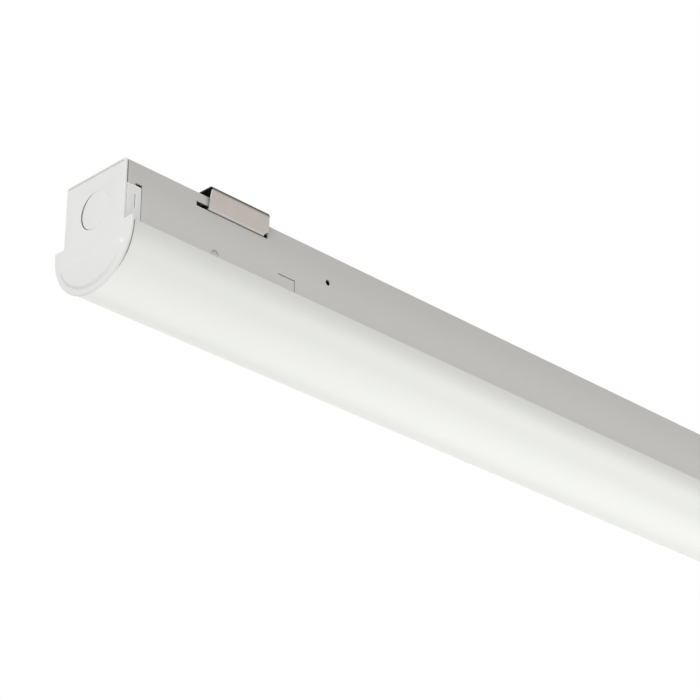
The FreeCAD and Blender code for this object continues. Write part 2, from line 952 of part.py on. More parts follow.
def make_terminal(end, count):
    """A push-in terminal block that looks out of one end of the driver."""
    outer = driver_x + end * (driver_length / 2 - driver_ear)
    inner = outer - end * terminal_length
    low_x, high_x = sorted((inner, outer))
    low, high = terminal_heights()
    body = block(low_x, high_x, -terminal_width / 2, terminal_width / 2, low, high)
    quarter = terminal_width / 4
    body = body.fuse(block(low_x, high_x, -quarter, quarter, driver_floor + driver_sheet, low))
    mouth_x, mouth_z = driver_mouth(end)
    for y in lead_rows(count):
        entry = wire_bore(point(mouth_x, y, mouth_z), X_AXIS * end, terminal_length)
        button_low = high - terminal_button_depth
        button = many_sided(lead_radius, lead_sides, mouth_x, y, button_low, high + cut_overrun)
        body = body.cut(entry).cut(button)
    return body.removeSplitter()


def make_driver_screws():
    screws = [
        small_screw(x, y, tray_top + driver_sheet, driver_screw_head_radius)
        for x, y in driver_screw_spots()
    ]
    return Part.makeCompound(screws)


def make_feed_lead(row):
    """From the driver's output, down through the grommet, to the feed connector."""
    mouth_x, mouth_z = driver_mouth(-1)
    start_y = lead_rows(2)[row]
    end_y = entry_rows()[row]
    return lead(
        [
            (mouth_x, start_y, mouth_z),
            (mouth_x - feed_straight, start_y, mouth_z),
            (grommet_x + feed_straight, end_y, mouth_z),
            (grommet_x, end_y, mouth_z),
            (grommet_x, end_y, entry_height()),
            (feed_connector_x, end_y, entry_height()),
        ],
        lead_bend,
    )


def plug_axis_height():
    return tray_top + plug_height / 2


def make_supply_lead(row):
    """From the driver's input to the fixed half of the supply connector."""
    mouth_x, mouth_z = driver_mouth(1)
    y = lead_rows(3)[row]
    end_x = plug_x - plug_length / 2 + plug_entry_depth
    low_z = plug_axis_height()
    return lead(
        [
            (mouth_x, y, mouth_z),
            (mouth_x + lead_straight, y, mouth_z),
            (mouth_x + lead_straight + lead_slant, y, low_z),
            (end_x, y, low_z),
        ],
        lead_bend,
    )


def make_ground_lead():
    """From the driver's input to the ring under the ground screw."""
    mouth_x, mouth_z = driver_mouth(1)
    y = lead_rows(3)[2]
    ring_edge = ground_screw_x - ring_radius
    low_z = tray_top + barrel_radius
    return lead(
        [
            (mouth_x, y, mouth_z),
            (mouth_x + lead_straight / 2, y, mouth_z),
            (ring_edge - barrel_length - lead_straight / 4, ground_screw_y, low_z),
            (ring_edge - barrel_length + barrel_entry, ground_screw_y, low_z),
        ],
        lead_bend / 2,
    )


def make_ground_ring():
    """A ring tongue with its crimp barrel."""
    ring_edge = ground_screw_x - ring_radius
    barrel_x = ring_edge - barrel_length
    barrel = many_sided(barrel_radius, small_sides, 0, 0, 0, barrel_length + barrel_lap)
    barrel.Placement = FreeCAD.Placement(
        point(barrel_x, ground_screw_y, tray_top + barrel_radius),
        FreeCAD.Rotation(Z_AXIS, X_AXIS),
    )
    eye_x, eye_y = ground_screw_x, ground_screw_y
    ring_top = tray_top + ring_sheet
    ring = many_sided(ring_radius, small_sides, eye_x, eye_y, tray_top, ring_top)
    bore = wire_bore(
        point(barrel_x - cut_overrun, ground_screw_y, tray_top + barrel_radius),
        X_AXIS,
        barrel_entry + cut_overrun,
    )
    eye_low = tray_top - cut_overrun
    eye_high = tray_top + 2 * barrel_radius + cut_overrun
    eye_radius = driver_screw_radius + screw_air
    eye = many_sided(eye_radius, small_sides, eye_x, eye_y, eye_low, eye_high)
    return barrel.fuse(ring).cut(bore).cut(eye).removeSplitter()


def make_ground_screw():
    return small_screw(ground_screw_x, ground_screw_y, tray_top + ring_sheet, ground_head_radius)


def ribbed(body, x_from, x_to, y, z):
    """Cuts shallow finger grips across the top of a connector half."""
    step = (x_to - x_from) / plug_rib_count
    for index in range(plug_rib_count):
        rib_x = x_from + (index + 0.5) * step
        groove = block(
            rib_x - plug_rib_width / 2, rib_x + plug_rib_width / 2,
            y - plug_width, y + plug_width,
            z + plug_height / 2 - plug_rib_depth, z + plug_height / 2 + cut_overrun,
        )
        body = body.cut(groove)
    return body


def plug_middle_y():
    rows = lead_rows(3)
    return (rows[0] + rows[1]) / 2


def make_supply_plug():
    """The half of the supply connector that stays on the tray, with its nose."""
    y = plug_middle_y()
    z = plug_axis_height()
    low_x = plug_x - plug_length / 2
    high_x = plug_x + plug_length / 2
    half = plug_width / 2
    body = block(low_x, high_x, y - half, y + half, z - plug_height / 2, z + plug_height / 2)
    body = ribbed(body, low_x, high_x, y, z)
    nose_half = plug_nose_width / 2
    nose = block(
        high_x, high_x + plug_nose_length, y - nose_half, y + nose_half,
        z - plug_nose_height / 2, z + plug_nose_height / 2,
    )
    body = body.fuse(nose)
    for row in lead_rows(3)[:2]:
        start = point(low_x - cut_overrun, row, z)
        body = body.cut(wire_bore(start, X_AXIS, plug_entry_depth + cut_overrun))
    return body.removeSplitter()


def make_supply_socket():
    """The half that pulls off, with a cavity for the nose and holes for the supply wires."""
    y = plug_middle_y()
    z = plug_axis_height()
    low_x = plug_x + plug_length / 2
    high_x = low_x + plug_length
    half = plug_width / 2
    body = block(low_x, high_x, y - half, y + half, z - plug_height / 2, z + plug_height / 2)
    body = ribbed(body, low_x + plug_nose_length, high_x, y, z)
    nose_half = plug_nose_width / 2 + plug_nose_air
    nose_rise = plug_nose_height / 2 + plug_nose_air
    cavity = block(
        low_x - cut_overrun, low_x + plug_nose_length + plug_nose_air,
        y - nose_half, y + nose_half, z - nose_rise, z + nose_rise,
    )
    body = body.cut(cavity)
    for row in lead_rows(3)[:2]:
        start = point(high_x - socket_entry_depth, row, z)
        body = body.cut(wire_bore(start, X_AXIS, plug_length))
    return body


def through_clip(outline, shoulder_y):
    """A cut across both legs of the clip, from its outline in the XZ plane."""
    reach = shoulder_y + clip_bend + clip_sheet
    corners = [point(x, -reach, z) for x, z in outline]
    face = Part.Face(Part.makePolygon(corners + corners[:1]))
    return face.extrude(point(0, 2 * reach, 0))


def make_clip():
    """The near clip: top strip, sloping legs and a hook foot on each."""
    top = -clip_sheet / 2
    foot = channel_top - clip_foot_depth
    foot_y = half_width + clip_foot_air + clip_sheet / 2
    shoulder_y = foot_y + clip_shoulder
    hook_y = half_width - hook_reach
    path = mirrored_path([(-hook_y, foot), (-foot_y, foot), (-shoulder_y, top)])
    fold = clip_bend + clip_sheet / 2
    foot_fold = clip_foot_bend + clip_sheet / 2
    section = folded_section(path, clip_sheet, [foot_fold, fold, fold, foot_fold])
    low_x = -half_length + clip_from_face
    body = prism(section, low_x, low_x + clip_length)
    high_x = low_x + clip_length
    notch_top = foot + clip_sheet / 2 + hook_notch_height / 2
    below = foot - clip_sheet - cut_overrun
    body = body.cut(through_clip([
        (low_x + hook_length, below),
        (low_x + hook_length, foot + clip_sheet / 2),
        (low_x + hook_length + hook_notch_slope, notch_top),
        (high_x + cut_overrun, notch_top),
        (high_x + cut_overrun, below),
    ], shoulder_y))
    for x, way in ((low_x, 1), (high_x, -1)):
        body = body.cut(through_clip([
            (x, foot),
            (x + way * clip_taper, cut_overrun),
            (x - way * cut_overrun, cut_overrun),
            (x - way * cut_overrun, foot),
        ], shoulder_y))
    middle_x = -clip_middle
    hole_low = -clip_sheet - cut_overrun
    return body.cut(post(clip_hole_radius, middle_x, 0, hole_low, cut_overrun))


def save(name, shape):
    shape.exportStep("parts/" + name + ".step")
    solids = shape.Solids
    print(name, len(solids), "solids", "valid" if shape.isValid() else "NOT VALID",
          round(sum(solid.Volume for solid in solids), 1))


def main():
    os.makedirs("parts", exist_ok=True)
    save("channel", make_channel())
    for name, x in zip(("strap_near", "strap_middle", "strap_far"), strap_places):
        save(name, make_strap(x))
    save("back_knockouts", make_back_knockouts())
    cap = make_cap()
    save("end_cap_near", cap)
    save("end_cap_far", turned_about_z(cap))
    disc = make_cap_knockout()
    save("cap_knockout_near", disc)
    save("cap_knockout_far", turned_about_z(disc))
    clip = make_clip()
    save("clip_near", clip)
    save("clip_far", turned_about_z(clip))
    save("lens", make_lens())
    save("tray", make_tray())
    save("tray_screws", make_tray_screws())
    for name, end in (("near", -1), ("far", 1)):
        save("led_board_" + name, make_board(end))
        save("led_chips_" + name, make_chips(end))
        save("jumper_connector_" + name, make_connector(jumper_x(end), -end))
    save("board_jumpers", make_jumpers())
    save("feed_connector", make_connector(feed_connector_x, 1))
    save("board_rivets", make_rivets())
    save("grommet", make_grommet())
    save("driver_base", make_driver_base())
    save("driver_cover", make_driver_cover())
    save("driver_board", make_driver_board())
    save("driver_terminal_output", make_terminal(-1, 2))
    save("driver_terminal_input", make_terminal(1, 3))
    save("driver_screws", make_driver_screws())
    save("feed_lead_positive", make_feed_lead(0))
    save("feed_lead_negative", make_feed_lead(1))
    save("line_lead", make_supply_lead(0))
    save("neutral_lead", make_supply_lead(1))
    save("ground_lead", make_ground_lead())
    save("ground_ring", make_ground_ring())
    save("ground_screw", make_ground_screw())
    save("supply_plug", make_supply_plug())
    save("supply_socket", make_supply_socket())


main()
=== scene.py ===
import math

import bmesh
import bpy
from mathutils import Matrix, Vector


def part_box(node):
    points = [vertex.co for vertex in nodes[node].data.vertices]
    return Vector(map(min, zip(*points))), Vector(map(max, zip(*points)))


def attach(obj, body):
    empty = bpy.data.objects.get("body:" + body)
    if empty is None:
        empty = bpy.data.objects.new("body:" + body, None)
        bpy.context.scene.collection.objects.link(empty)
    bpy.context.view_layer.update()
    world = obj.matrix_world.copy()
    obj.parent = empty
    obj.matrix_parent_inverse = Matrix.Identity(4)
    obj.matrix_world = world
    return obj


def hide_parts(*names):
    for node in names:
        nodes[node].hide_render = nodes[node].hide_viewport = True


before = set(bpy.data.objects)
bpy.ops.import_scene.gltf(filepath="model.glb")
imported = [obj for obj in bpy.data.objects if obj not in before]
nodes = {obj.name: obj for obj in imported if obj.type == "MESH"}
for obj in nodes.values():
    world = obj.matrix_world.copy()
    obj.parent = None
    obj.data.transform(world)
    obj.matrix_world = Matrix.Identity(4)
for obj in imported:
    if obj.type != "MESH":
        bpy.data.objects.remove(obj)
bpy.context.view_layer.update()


# Channel
# One length of white sheet steel is folded to a box that is open below, with a short return along
# each lower edge. It is powder coated once punched, so its paint has a faint orange peel. Its
# colour greys toward the top, which stands in for the photograph's weaker light there.
mm = 0.001
weld_distance = 0.002 * mm
sharp_fold = math.radians(32)
mottle_detail = 3.0
grain_detail = 2.0
# Colour of the painted shade toward the top of the channel.
painted_top_shade = (0.525, 0.515, 0.495)


def new_tree(kind, name, inputs, outputs):
    """An empty node tree with named sockets, and what its input node gives."""
    tree = bpy.data.node_groups.new(name, kind + "NodeTree")
    for way, sockets in (("INPUT", inputs), ("OUTPUT", outputs)):
        for title, holds in sockets.items():
            tree.interface.new_socket(title, in_out=way, socket_type="NodeSocket" + holds)
    return tree, tree.nodes.new("NodeGroupInput").outputs


def set_sockets(tree, node, sockets):
    """Sets each input of a node to a value, or links it to what another node gives."""
    for socket, value in sockets.items():
        if isinstance(value, bpy.types.NodeSocket):
            tree.links.new(value, node.inputs[socket])
        else:
            node.inputs[socket].default_value = value


def add_node(tree, kind, sockets=None, **settings):
    """Adds a node with its settings and inputs, and returns what it gives."""
    node = tree.nodes.new(kind)
    for setting, value in settings.items():
        setattr(node, setting, value)
    set_sockets(tree, node, sockets or {})
    return node.outputs


def mottle_group():
    """Drifts between two close colours and two roughness values over the surface."""
    tree, given = new_tree("Shader", "mottled finish", {
        "Light": "Color", "Dark": "Color", "Patch Size": "Float",
        "Smoothest": "Float", "Roughest": "Float",
    }, {"Colour": "Color", "Roughness": "Float"})
    place = add_node(tree, "ShaderNodeTexCoord")
    scale = add_node(tree, "ShaderNodeMath", {0: 1.0, 1: given["Patch Size"]}, operation="DIVIDE")
    noise = add_node(tree, "ShaderNodeTexNoise", {
        "Vector": place["Object"], "Scale": scale[0], "Detail": mottle_detail,
    })
    tint = add_node(tree, "ShaderNodeMix", {
        "Factor": noise["Fac"], "A": given["Light"], "B": given["Dark"],
    }, data_type="RGBA")
    rough = add_node(tree, "ShaderNodeMapRange", {
        "Value": noise["Fac"], "To Min": given["Smoothest"], "To Max": given["Roughest"],
    })
    add_node(tree, "NodeGroupOutput", {"Colour": tint["Result"], "Roughness": rough["Result"]})
    return tree


def grain_group():
    """A height of fine bumps, whose size can differ along X, Y and Z, as brushing does."""
    tree, given = new_tree("Shader", "fine grain", {"Grain Size": "Vector"}, {"Height": "Float"})
    place = add_node(tree, "ShaderNodeTexCoord")
    grains = add_node(tree, "ShaderNodeVectorMath", {
        0: place["Object"], 1: given["Grain Size"],
    }, operation="DIVIDE")
    noise = add_node(tree, "ShaderNodeTexNoise", {
        "Vector": grains["Vector"], "Scale": 1.0, "Detail": grain_detail,
    })
    add_node(tree, "NodeGroupOutput", {"Height": noise["Fac"]})
    return tree


mottled = mottle_group()
grained = grain_group()


def finish(name, light, dark, roughness, patch, grain, depth, drawn=None, metal=0.0):
    """A material of one of the light's finishes. A drawn one has its grain longer along X."""
    material = bpy.data.materials.new(name)
    material.use_nodes = True
    tree = material.node_tree
    colours = add_node(tree, "ShaderNodeGroup", {
        "Light": (*light, 1), "Dark": (*dark, 1), "Patch Size": patch,
        "Smoothest": roughness[0], "Roughest": roughness[1],
    }, node_tree=mottled)
    bumps = add_node(tree, "ShaderNodeGroup", {
        "Grain Size": (drawn or grain, grain, grain),
    }, node_tree=grained)
    relief = add_node(tree, "ShaderNodeBump", {"Height": bumps["Height"], "Distance": depth})
    set_sockets(tree, tree.nodes["Principled BSDF"], {
        "Base Color": colours["Colour"], "Roughness": colours["Roughness"],
        "Normal": relief["Normal"], "Metallic": metal,
    })
    return material


def add_part_colour(material, mask, part):
    """Mixes one more colour into a finish where a mask is one."""
    tree = material.node_tree
    shader = tree.nodes["Principled BSDF"]
    before = shader.inputs["Base Color"].links[0].from_socket
    mixed = add_node(tree, "ShaderNodeMix", {
        "Factor": mask, "A": before, "B": (*part, 1),
    }, data_type="RGBA")
    set_sockets(tree, shader, {"Base Color": mixed["Result"]})


def part_masks(material, attribute):
    """The red, green and blue of a piece's face attribute, as three masks."""
    tree = material.node_tree
    marks = add_node(tree, "ShaderNodeAttribute", attribute_name=attribute)
    return list(add_node(tree, "ShaderNodeSeparateColor", {"Color": marks["Color"]}))


def height_mask(material, low, high, limit=1.0):
    """A mask that rises softly between two heights, up to a value or another mask."""
    tree = material.node_tree
    place = add_node(tree, "ShaderNodeTexCoord")
    along = add_node(tree, "ShaderNodeSeparateXYZ", {"Vector": place["Object"]})
    return add_node(tree, "ShaderNodeMapRange", {
        "Value": along["Z"], "From Min": low, "From Max": high, "To Max": limit,
    }, interpolation_type="SMOOTHSTEP")["Result"]


def placed(name, data):
    thing = bpy.data.objects.new(name, data)
    bpy.context.scene.collection.objects.link(thing)
    return thing


def placed_mesh(name, shell):
    """A new object of a bmesh, which is used up."""
    mesh = bpy.data.meshes.new(name)
    shell.to_mesh(mesh)
    shell.free()
    return placed(name, mesh)


def piece_from(node, shell, material, body):
    """Turns a bmesh into the finished piece that rides on its body in place of its node."""
    piece = placed_mesh(node + "_finished", shell)
    piece.data.shade_smooth()
    piece.data.set_sharp_from_angle(angle=sharp_fold)
    piece.data.materials.append(material)
    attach(piece, body)
    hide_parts(node)
    return piece


def joined_copy(node):
    """A node's faces as one welded bmesh, with no trace of how they were cut up."""
    source = nodes[node].data
    shell = bmesh.new()
    spots = [shell.verts.new(vertex.co) for vertex in source.vertices]
    for face in source.polygons:
        shell.faces.new([spots[index] for index in face.vertices])
    bmesh.ops.remove_doubles(shell, verts=shell.verts, dist=weld_distance)
    bmesh.ops.dissolve_degenerate(shell, edges=shell.edges, dist=weld_distance)
    return shell


def refinished(node, material, body):
    """A piece with the node's own shape and a finish."""
    return piece_from(node, joined_copy(node), material, body)


enamel = finish(
    "white enamelled steel", light=(0.655, 0.636, 0.608), dark=(0.618, 0.613, 0.592),
    roughness=(0.34, 0.42), patch=180 * mm, grain=1.1 * mm, depth=0.012 * mm,
)
channel_low, channel_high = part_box("channel")
# Painted shade: the enamel greys toward the top of the channel, on every piece that shares this
# finish.
add_part_colour(enamel, height_mask(enamel, channel_low.z, channel_high.z), painted_top_shade)
refinished("channel", enamel, "housing")
refinished("back_knockouts", enamel, "housing")


# Ceiling clips
# Each clip is a strip of bare spring steel, folded down over the channel and hooked into a slot
# in each side. Its face shows the rolling lines of the strip. Painted shade darkens its inside, a
# painted dark reflection darkens the outside of its folds, and a painted highlight lightens its
# legs' cut edges.
# Colour of the painted shade inside the clip and of the painted dark reflection on its folds.
clip_painted_dark = (0.022, 0.020, 0.012)
# Colour of the painted highlight on the clip legs' cut edges.
clip_painted_highlight = (0.640, 0.610, 0.580)
clip_fold_depth = 3.4 * mm
# Depth below the clip's top at which the painted dark reflection on its folds becomes full.
clip_dark_reflection_depth = 1.3 * mm
clip_flat_from = 0.8
clip_edge_from = 0.7
clip_under_from = 0.3
clip_inner_reach = 10 * mm
spring_steel = finish(
    "rolled spring steel", light=(0.530, 0.485, 0.450), dark=(0.465, 0.425, 0.397), metal=1.0,
    roughness=(0.34, 0.46), patch=9 * mm, grain=0.35 * mm, drawn=14 * mm, depth=0.02 * mm,
)
clip_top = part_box("clip_near")[1].z


def mark_clip_painted_light(mesh):
    """Marks faces for painted light: red for painted shade inside the clip and on its strap's cut
    ends, green for a painted highlight on its legs' cut edges, blue for a painted dark reflection
    outside its folds.
    """
    marks = mesh.attributes.new("clip_wear", "FLOAT_COLOR", "FACE")
    for face in mesh.polygons:
        cut_edge = abs(face.normal.x) > clip_edge_from
        in_strap = face.center.z > clip_top - clip_fold_depth
        under_strap = in_strap and face.normal.z < -clip_under_from
        inside = under_strap or face.normal.y * face.center.y < -clip_inner_reach
        fold = min(1.0, (1 - face.normal.z) / (1 - clip_flat_from))
        marks.data[face.index].color = (
            float(inside or cut_edge and in_strap), float(cut_edge and not in_strap), fold, 1
        )


# Painted light on the clip: shade inside it, a dark reflection on its folds, and a highlight on its
# legs' cut edges.
painted_inside_shade, painted_edge_highlight, painted_fold_reflection = part_masks(spring_steel, "clip_wear")
painted_fold_band = height_mask(
    spring_steel, clip_top - clip_fold_depth, clip_top - clip_dark_reflection_depth, painted_fold_reflection
)
add_part_colour(spring_steel, painted_fold_band, clip_painted_dark)
add_part_colour(spring_steel, painted_edge_highlight, clip_painted_highlight)
add_part_colour(spring_steel, painted_inside_shade, clip_painted_dark)
for end in ("near", "far"):
    clip = refinished("clip_" + end, spring_steel, end + "_clip")
    mark_clip_painted_light(clip.data)


# Cross straps
# Three steel straps inside the channel carry the tray's screws. They are welded to its sides
# through small holes before it is painted, so they have the same finish.
for place in ("near", "middle", "far"):
    refinished("strap_" + place, enamel, "housing")


# Gear tray
# A shallow pan of the same white enamelled sheet hangs under the channel and carries everything
# electrical. The lens grips its turned down edges.
refinished("tray", enamel, "gear_tray")


# Tray screws
# Six captive screws with hexagon heads and pressed washers hold the tray to the straps. Each is
# turned by its own angle, as screws are left. Zinc plate gives them a cool, blotched shine.
zinc = finish(
    "zinc plated steel", light=(0.56, 0.57, 0.58), dark=(0.44, 0.45, 0.47), metal=1.0,
    roughness=(0.28, 0.44), patch=5 * mm, grain=0.6 * mm, depth=0.006 * mm,
)
screw_low, screw_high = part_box("tray_screws")
tray_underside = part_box("led_board_near")[1].z
screw_shank_radius = 1.9 * mm
screw_thread_pitch = 0.8 * mm
screw_thread_depth = 0.25 * mm
screw_washer_radius = 4.1 * mm
screw_washer_edge = 0.25 * mm
screw_washer_height = 0.7 * mm
screw_head_radius = 3.5 * mm
screw_head_bevel = 0.35 * mm
screw_head_dish = 0.5 * mm
hex_sides = 6
round_sides = 32
copies_seed = 3


def circle(radius, steps, start=0):
    """Points of a circle, as pairs, from an angle of start steps."""
    angles = [2 * math.pi * (step + start) / steps for step in range(steps)]
    return [(radius * math.cos(angle), radius * math.sin(angle)) for angle in angles]


def ring_of(shell, radius, height, steps, middle=(0, 0), start=0):
    """A level ring of vertices, or one vertex over and over where it lies on the axis."""
    if radius == 0:
        return [shell.verts.new((*middle, height))] * steps
    return [
        shell.verts.new((middle[0] + x, middle[1] + y, height))
        for x, y in circle(radius, steps, start)
    ]


def walls(shell, rings):
    """Faces all round between each two rings, where a ring can be one vertex over and over."""
    for lower, upper in zip(rings, rings[1:]):
        for step in range(len(lower)):
            corners = (lower[step - 1], lower[step], upper[step], upper[step - 1])
            shell.faces.new(list(dict.fromkeys(corners)))


def outward(shell):
    """Turns the faces of closed shapes outward."""
    bmesh.ops.recalc_face_normals(shell, faces=shell.faces)
    return shell


def turned(shell, outline, steps, middle=(0, 0)):
    """Adds a shape turned about Z. Its outline runs from axis to axis, or closes to a ring."""
    rings = [ring_of(shell, radius, height, steps, middle) for radius, height in outline]
    if outline[0][0] > 0:
        rings.append(rings[0])
    walls(shell, rings)
    outward(shell)
    return list({vertex for ring in rings for vertex in ring})


def threaded(radius, depth, pitch, low, high, point):
    """Outline of a threaded shank from low to high, in rings of crest and root, to its point."""
    outline = [(0, low), (radius, low)]
    turns = int((high - low - point) / pitch)
    for step in range(turns):
        start = low + step * pitch
        outline += [(radius - depth, start + pitch / 4), (radius, start + pitch / 2)]
        outline += [(radius, start + pitch * 3 / 4)]
    outline += [(radius - depth, high - point), (radius / 3, high), (0, high)]
    return outline


def end_tree(tree, given, shape):
    """Ends a tree: makes its shape real, and gives it the finish."""
    real = add_node(tree, "GeometryNodeRealizeInstances", {"Geometry": shape})
    painted = add_node(tree, "GeometryNodeSetMaterial", {
        "Geometry": real["Geometry"], "Material": given["Finish"],
    })
    add_node(tree, "NodeGroupOutput", {"Shape": painted["Geometry"]})
    return tree


def copies_tree():
    """Sets a pattern piece at each vertex, turned by a random angle."""
    tree, given = new_tree("Geometry", "set at each place", {
        "Places": "Geometry", "Pattern": "Object", "Turn Spread": "Float", "Seed": "Int",
        "Finish": "Material",
    }, {"Shape": "Geometry"})
    pattern = add_node(tree, "GeometryNodeObjectInfo", {"Object": given["Pattern"]})
    turn = add_node(tree, "FunctionNodeRandomValue", {
        "Max": given["Turn Spread"], "Seed": given["Seed"],
    }, data_type="FLOAT")
    upright = add_node(tree, "ShaderNodeCombineXYZ", {"Z": turn["Value"]})
    put = add_node(tree, "GeometryNodeInstanceOnPoints", {
        "Points": given["Places"], "Instance": pattern["Geometry"],
        "Rotation": upright["Vector"],
    })
    return end_tree(tree, given, put["Instances"])


def discard(thing):
    mesh = thing.data
    bpy.data.objects.remove(thing)
    bpy.data.meshes.remove(mesh)


def result_of(base, modifier):
    """The bmesh that a scratch object's modifier makes. The object is used up."""
    bpy.context.view_layer.update()
    graph = bpy.context.evaluated_depsgraph_get()
    mesh = bpy.data.meshes.new_from_object(base.evaluated_get(graph))
    base.modifiers.remove(modifier)
    discard(base)
    shell = bmesh.new()
    shell.from_mesh(mesh)
    bpy.data.meshes.remove(mesh)
    return shell


def made_by(tree, start, settings):
    """The bmesh that a tree makes from a starting mesh, with its inputs set by name."""
    base = placed(start.name, start)
    modifier = base.modifiers.new("made", "NODES")
    modifier.node_group = tree
    for item in tree.interface.items_tree:
        if item.in_out == "INPUT" and item.name in settings:
            modifier[item.identifier] = settings[item.name]
    return result_of(base, modifier)


def solids_of(node):
    """Middle in plan of each separate solid of a node, in order along X."""
    shell = joined_copy(node)
    left = set(shell.verts)
    middles = []
    while left:
        members = [left.pop()]
        for vertex in members:
            beside = {edge.other_vert(vertex) for edge in vertex.link_edges} & left
            left -= beside
            members += beside
        spans = [[vertex.co[axis] for vertex in members] for axis in (0, 1)]
        middles.append(tuple((min(span) + max(span)) / 2 for span in spans) + (0,))
    shell.free()
    return sorted(middles)


set_at_places = copies_tree()


def copies_at(node, shell, material, spread=2 * math.pi):
    """One finished piece of a pattern's copies, at each solid of a node on the tray."""
    pattern = placed_mesh(node + "_pattern", shell)
    spots = bpy.data.meshes.new(node + "_places")
    spots.from_pydata(solids_of(node), [], [])
    made = made_by(set_at_places, spots, {
        "Pattern": pattern, "Turn Spread": spread, "Seed": copies_seed, "Finish": material,
    })
    discard(pattern)
    return piece_from(node, made, material, "gear_tray")


tray_screw = bmesh.new()
washer_low = tray_underside - screw_washer_height
turned(tray_screw, threaded(
    screw_shank_radius, screw_thread_depth, screw_thread_pitch,
    tray_underside, screw_high.z, screw_shank_radius,
), round_sides)
turned(tray_screw, [
    (0, washer_low),
    (screw_washer_radius - screw_washer_edge, washer_low),
    (screw_washer_radius, washer_low + screw_washer_edge),
    (screw_washer_radius, tray_underside),
    (0, tray_underside),
], round_sides)
turned(tray_screw, [
    (0, screw_low.z + screw_head_dish),
    (screw_head_radius / 2, screw_low.z + screw_head_dish),
    (screw_head_radius / 2 + screw_head_dish, screw_low.z),
    (screw_head_radius - screw_head_bevel, screw_low.z),
    (screw_head_radius, screw_low.z + screw_head_bevel),
    (screw_head_radius, washer_low),
    (0, washer_low),
], hex_sides)
copies_at("tray_screws", tray_screw, zinc)


# LED boards
# Two aluminium backed boards lie end to end under white solder resist. The copper beneath it
# shows as shallow raised runs along the board.
copper_run_width = 4.2 * mm
copper_run_step = 16.56 * mm
board_relief = 0.05 * mm
copper_run_gap = 0.25 * mm
copper_run_soft = 0.6
resist = finish(
    "white solder resist", light=(0.80, 0.81, 0.79), dark=(0.74, 0.75, 0.73),
    roughness=(0.30, 0.38), patch=25 * mm, grain=0.4 * mm, depth=0.004 * mm,
)
resist_tree = resist.node_tree
resist_place = add_node(resist_tree, "ShaderNodeTexCoord")
copper_runs = add_node(resist_tree, "ShaderNodeTexBrick", {
    "Vector": resist_place["Object"], "Scale": 1.0, "Brick Width": copper_run_step,
    "Row Height": copper_run_width, "Mortar Size": copper_run_gap,
    "Mortar Smooth": copper_run_soft,
    "Color1": (1, 1, 1, 1), "Color2": (1, 1, 1, 1), "Mortar": (0, 0, 0, 1),
})
resist_relief = add_node(resist_tree, "ShaderNodeBump", {
    "Height": copper_runs["Color"], "Distance": board_relief,
    "Normal": resist_tree.nodes["Bump"].outputs["Normal"],
})
set_sockets(
    resist_tree, resist_tree.nodes["Principled BSDF"], {"Normal": resist_relief["Normal"]}
)
for end in ("near", "far"):
    refinished("led_board_" + end, resist, "gear_tray")


# LED chips
# Each chip is a white moulded package with two plated ends and a shallow round well of yellow
# phosphor. They are reflowed onto the board in one straight row.
chip_low, chip_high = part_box("led_chips_near")
chip_half_length = 1.75 * mm
chip_half_width = 1.4 * mm
chip_well_radius = 1.12 * mm
chip_well_depth = 0.12 * mm
chip_well_sides = 16
chip_bevel = 0.12 * mm
phosphor = (0.80, 0.62, 0.16)
package_white = (0.82, 0.82, 0.79)
plated_end = (0.60, 0.59, 0.56)
square = ((-1, -1), (1, -1), (1, 1), (-1, 1))


def filled(shell, loops):
    """Fills the flat space inside the first loop and outside the others."""
    edges = []
    for loop in loops:
        for pair in zip(loop, loop[1:] + loop[:1]):
            edges.append(shell.edges.get(pair) or shell.edges.new(pair))
    bmesh.ops.triangle_fill(shell, edges=edges, use_beauty=True)


def chip_pattern():
    """A chip face down: a bevelled block with a round well in its lower face."""
    shell = bmesh.new()
    top, side, rim = (
        [
            shell.verts.new((x * (chip_half_length - inset), y * (chip_half_width - inset), height))
            for x, y in square
        ]
        for inset, height in (
            (0, chip_high.z), (0, chip_low.z + chip_bevel), (chip_bevel, chip_low.z),
        )
    )
    mouth, floor = (
        ring_of(shell, chip_well_radius - depth, chip_low.z + depth, chip_well_sides, start=0.5)
        for depth in (0, chip_well_depth)
    )
    shell.faces.new(top)
    walls(shell, [top, side, rim])
    filled(shell, [rim, mouth])
    walls(shell, [mouth, floor])
    shell.faces.new(floor)
    return outward(shell)


def mark_chip_parts(piece, middles):
    """Colours a face attribute: red where phosphor lies, green at the plated ends."""
    mesh = piece.data
    marks = mesh.attributes.new("chip_part", "FLOAT_COLOR", "FACE")
    well_reach = chip_well_radius - chip_well_depth / 2
    end_reach = chip_half_length - chip_bevel
    for face in mesh.polygons:
        centre = face.center
        near = min(middles, key=lambda spot: abs(spot[0] - centre.x))
        away = (centre.x - near[0], centre.y - near[1])
        in_well = math.hypot(*away) < well_reach and centre.z < chip_low.z + 2 * chip_well_depth
        at_end = abs(away[0]) > end_reach
        marks.data[face.index].color = (float(in_well), float(at_end), 0, 1)


package = finish(
    "chip package", light=package_white, dark=package_white,
    roughness=(0.4, 0.5), patch=3 * mm, grain=0.2 * mm, depth=0.002 * mm,
)
in_well, on_plate, _ = part_masks(package, "chip_part")
add_part_colour(package, in_well, phosphor)
add_part_colour(package, on_plate, plated_end)
for end in ("near", "far"):
    chips = copies_at("led_chips_" + end, chip_pattern(), package, spread=0)
    mark_chip_parts(chips, solids_of("led_chips_" + end))


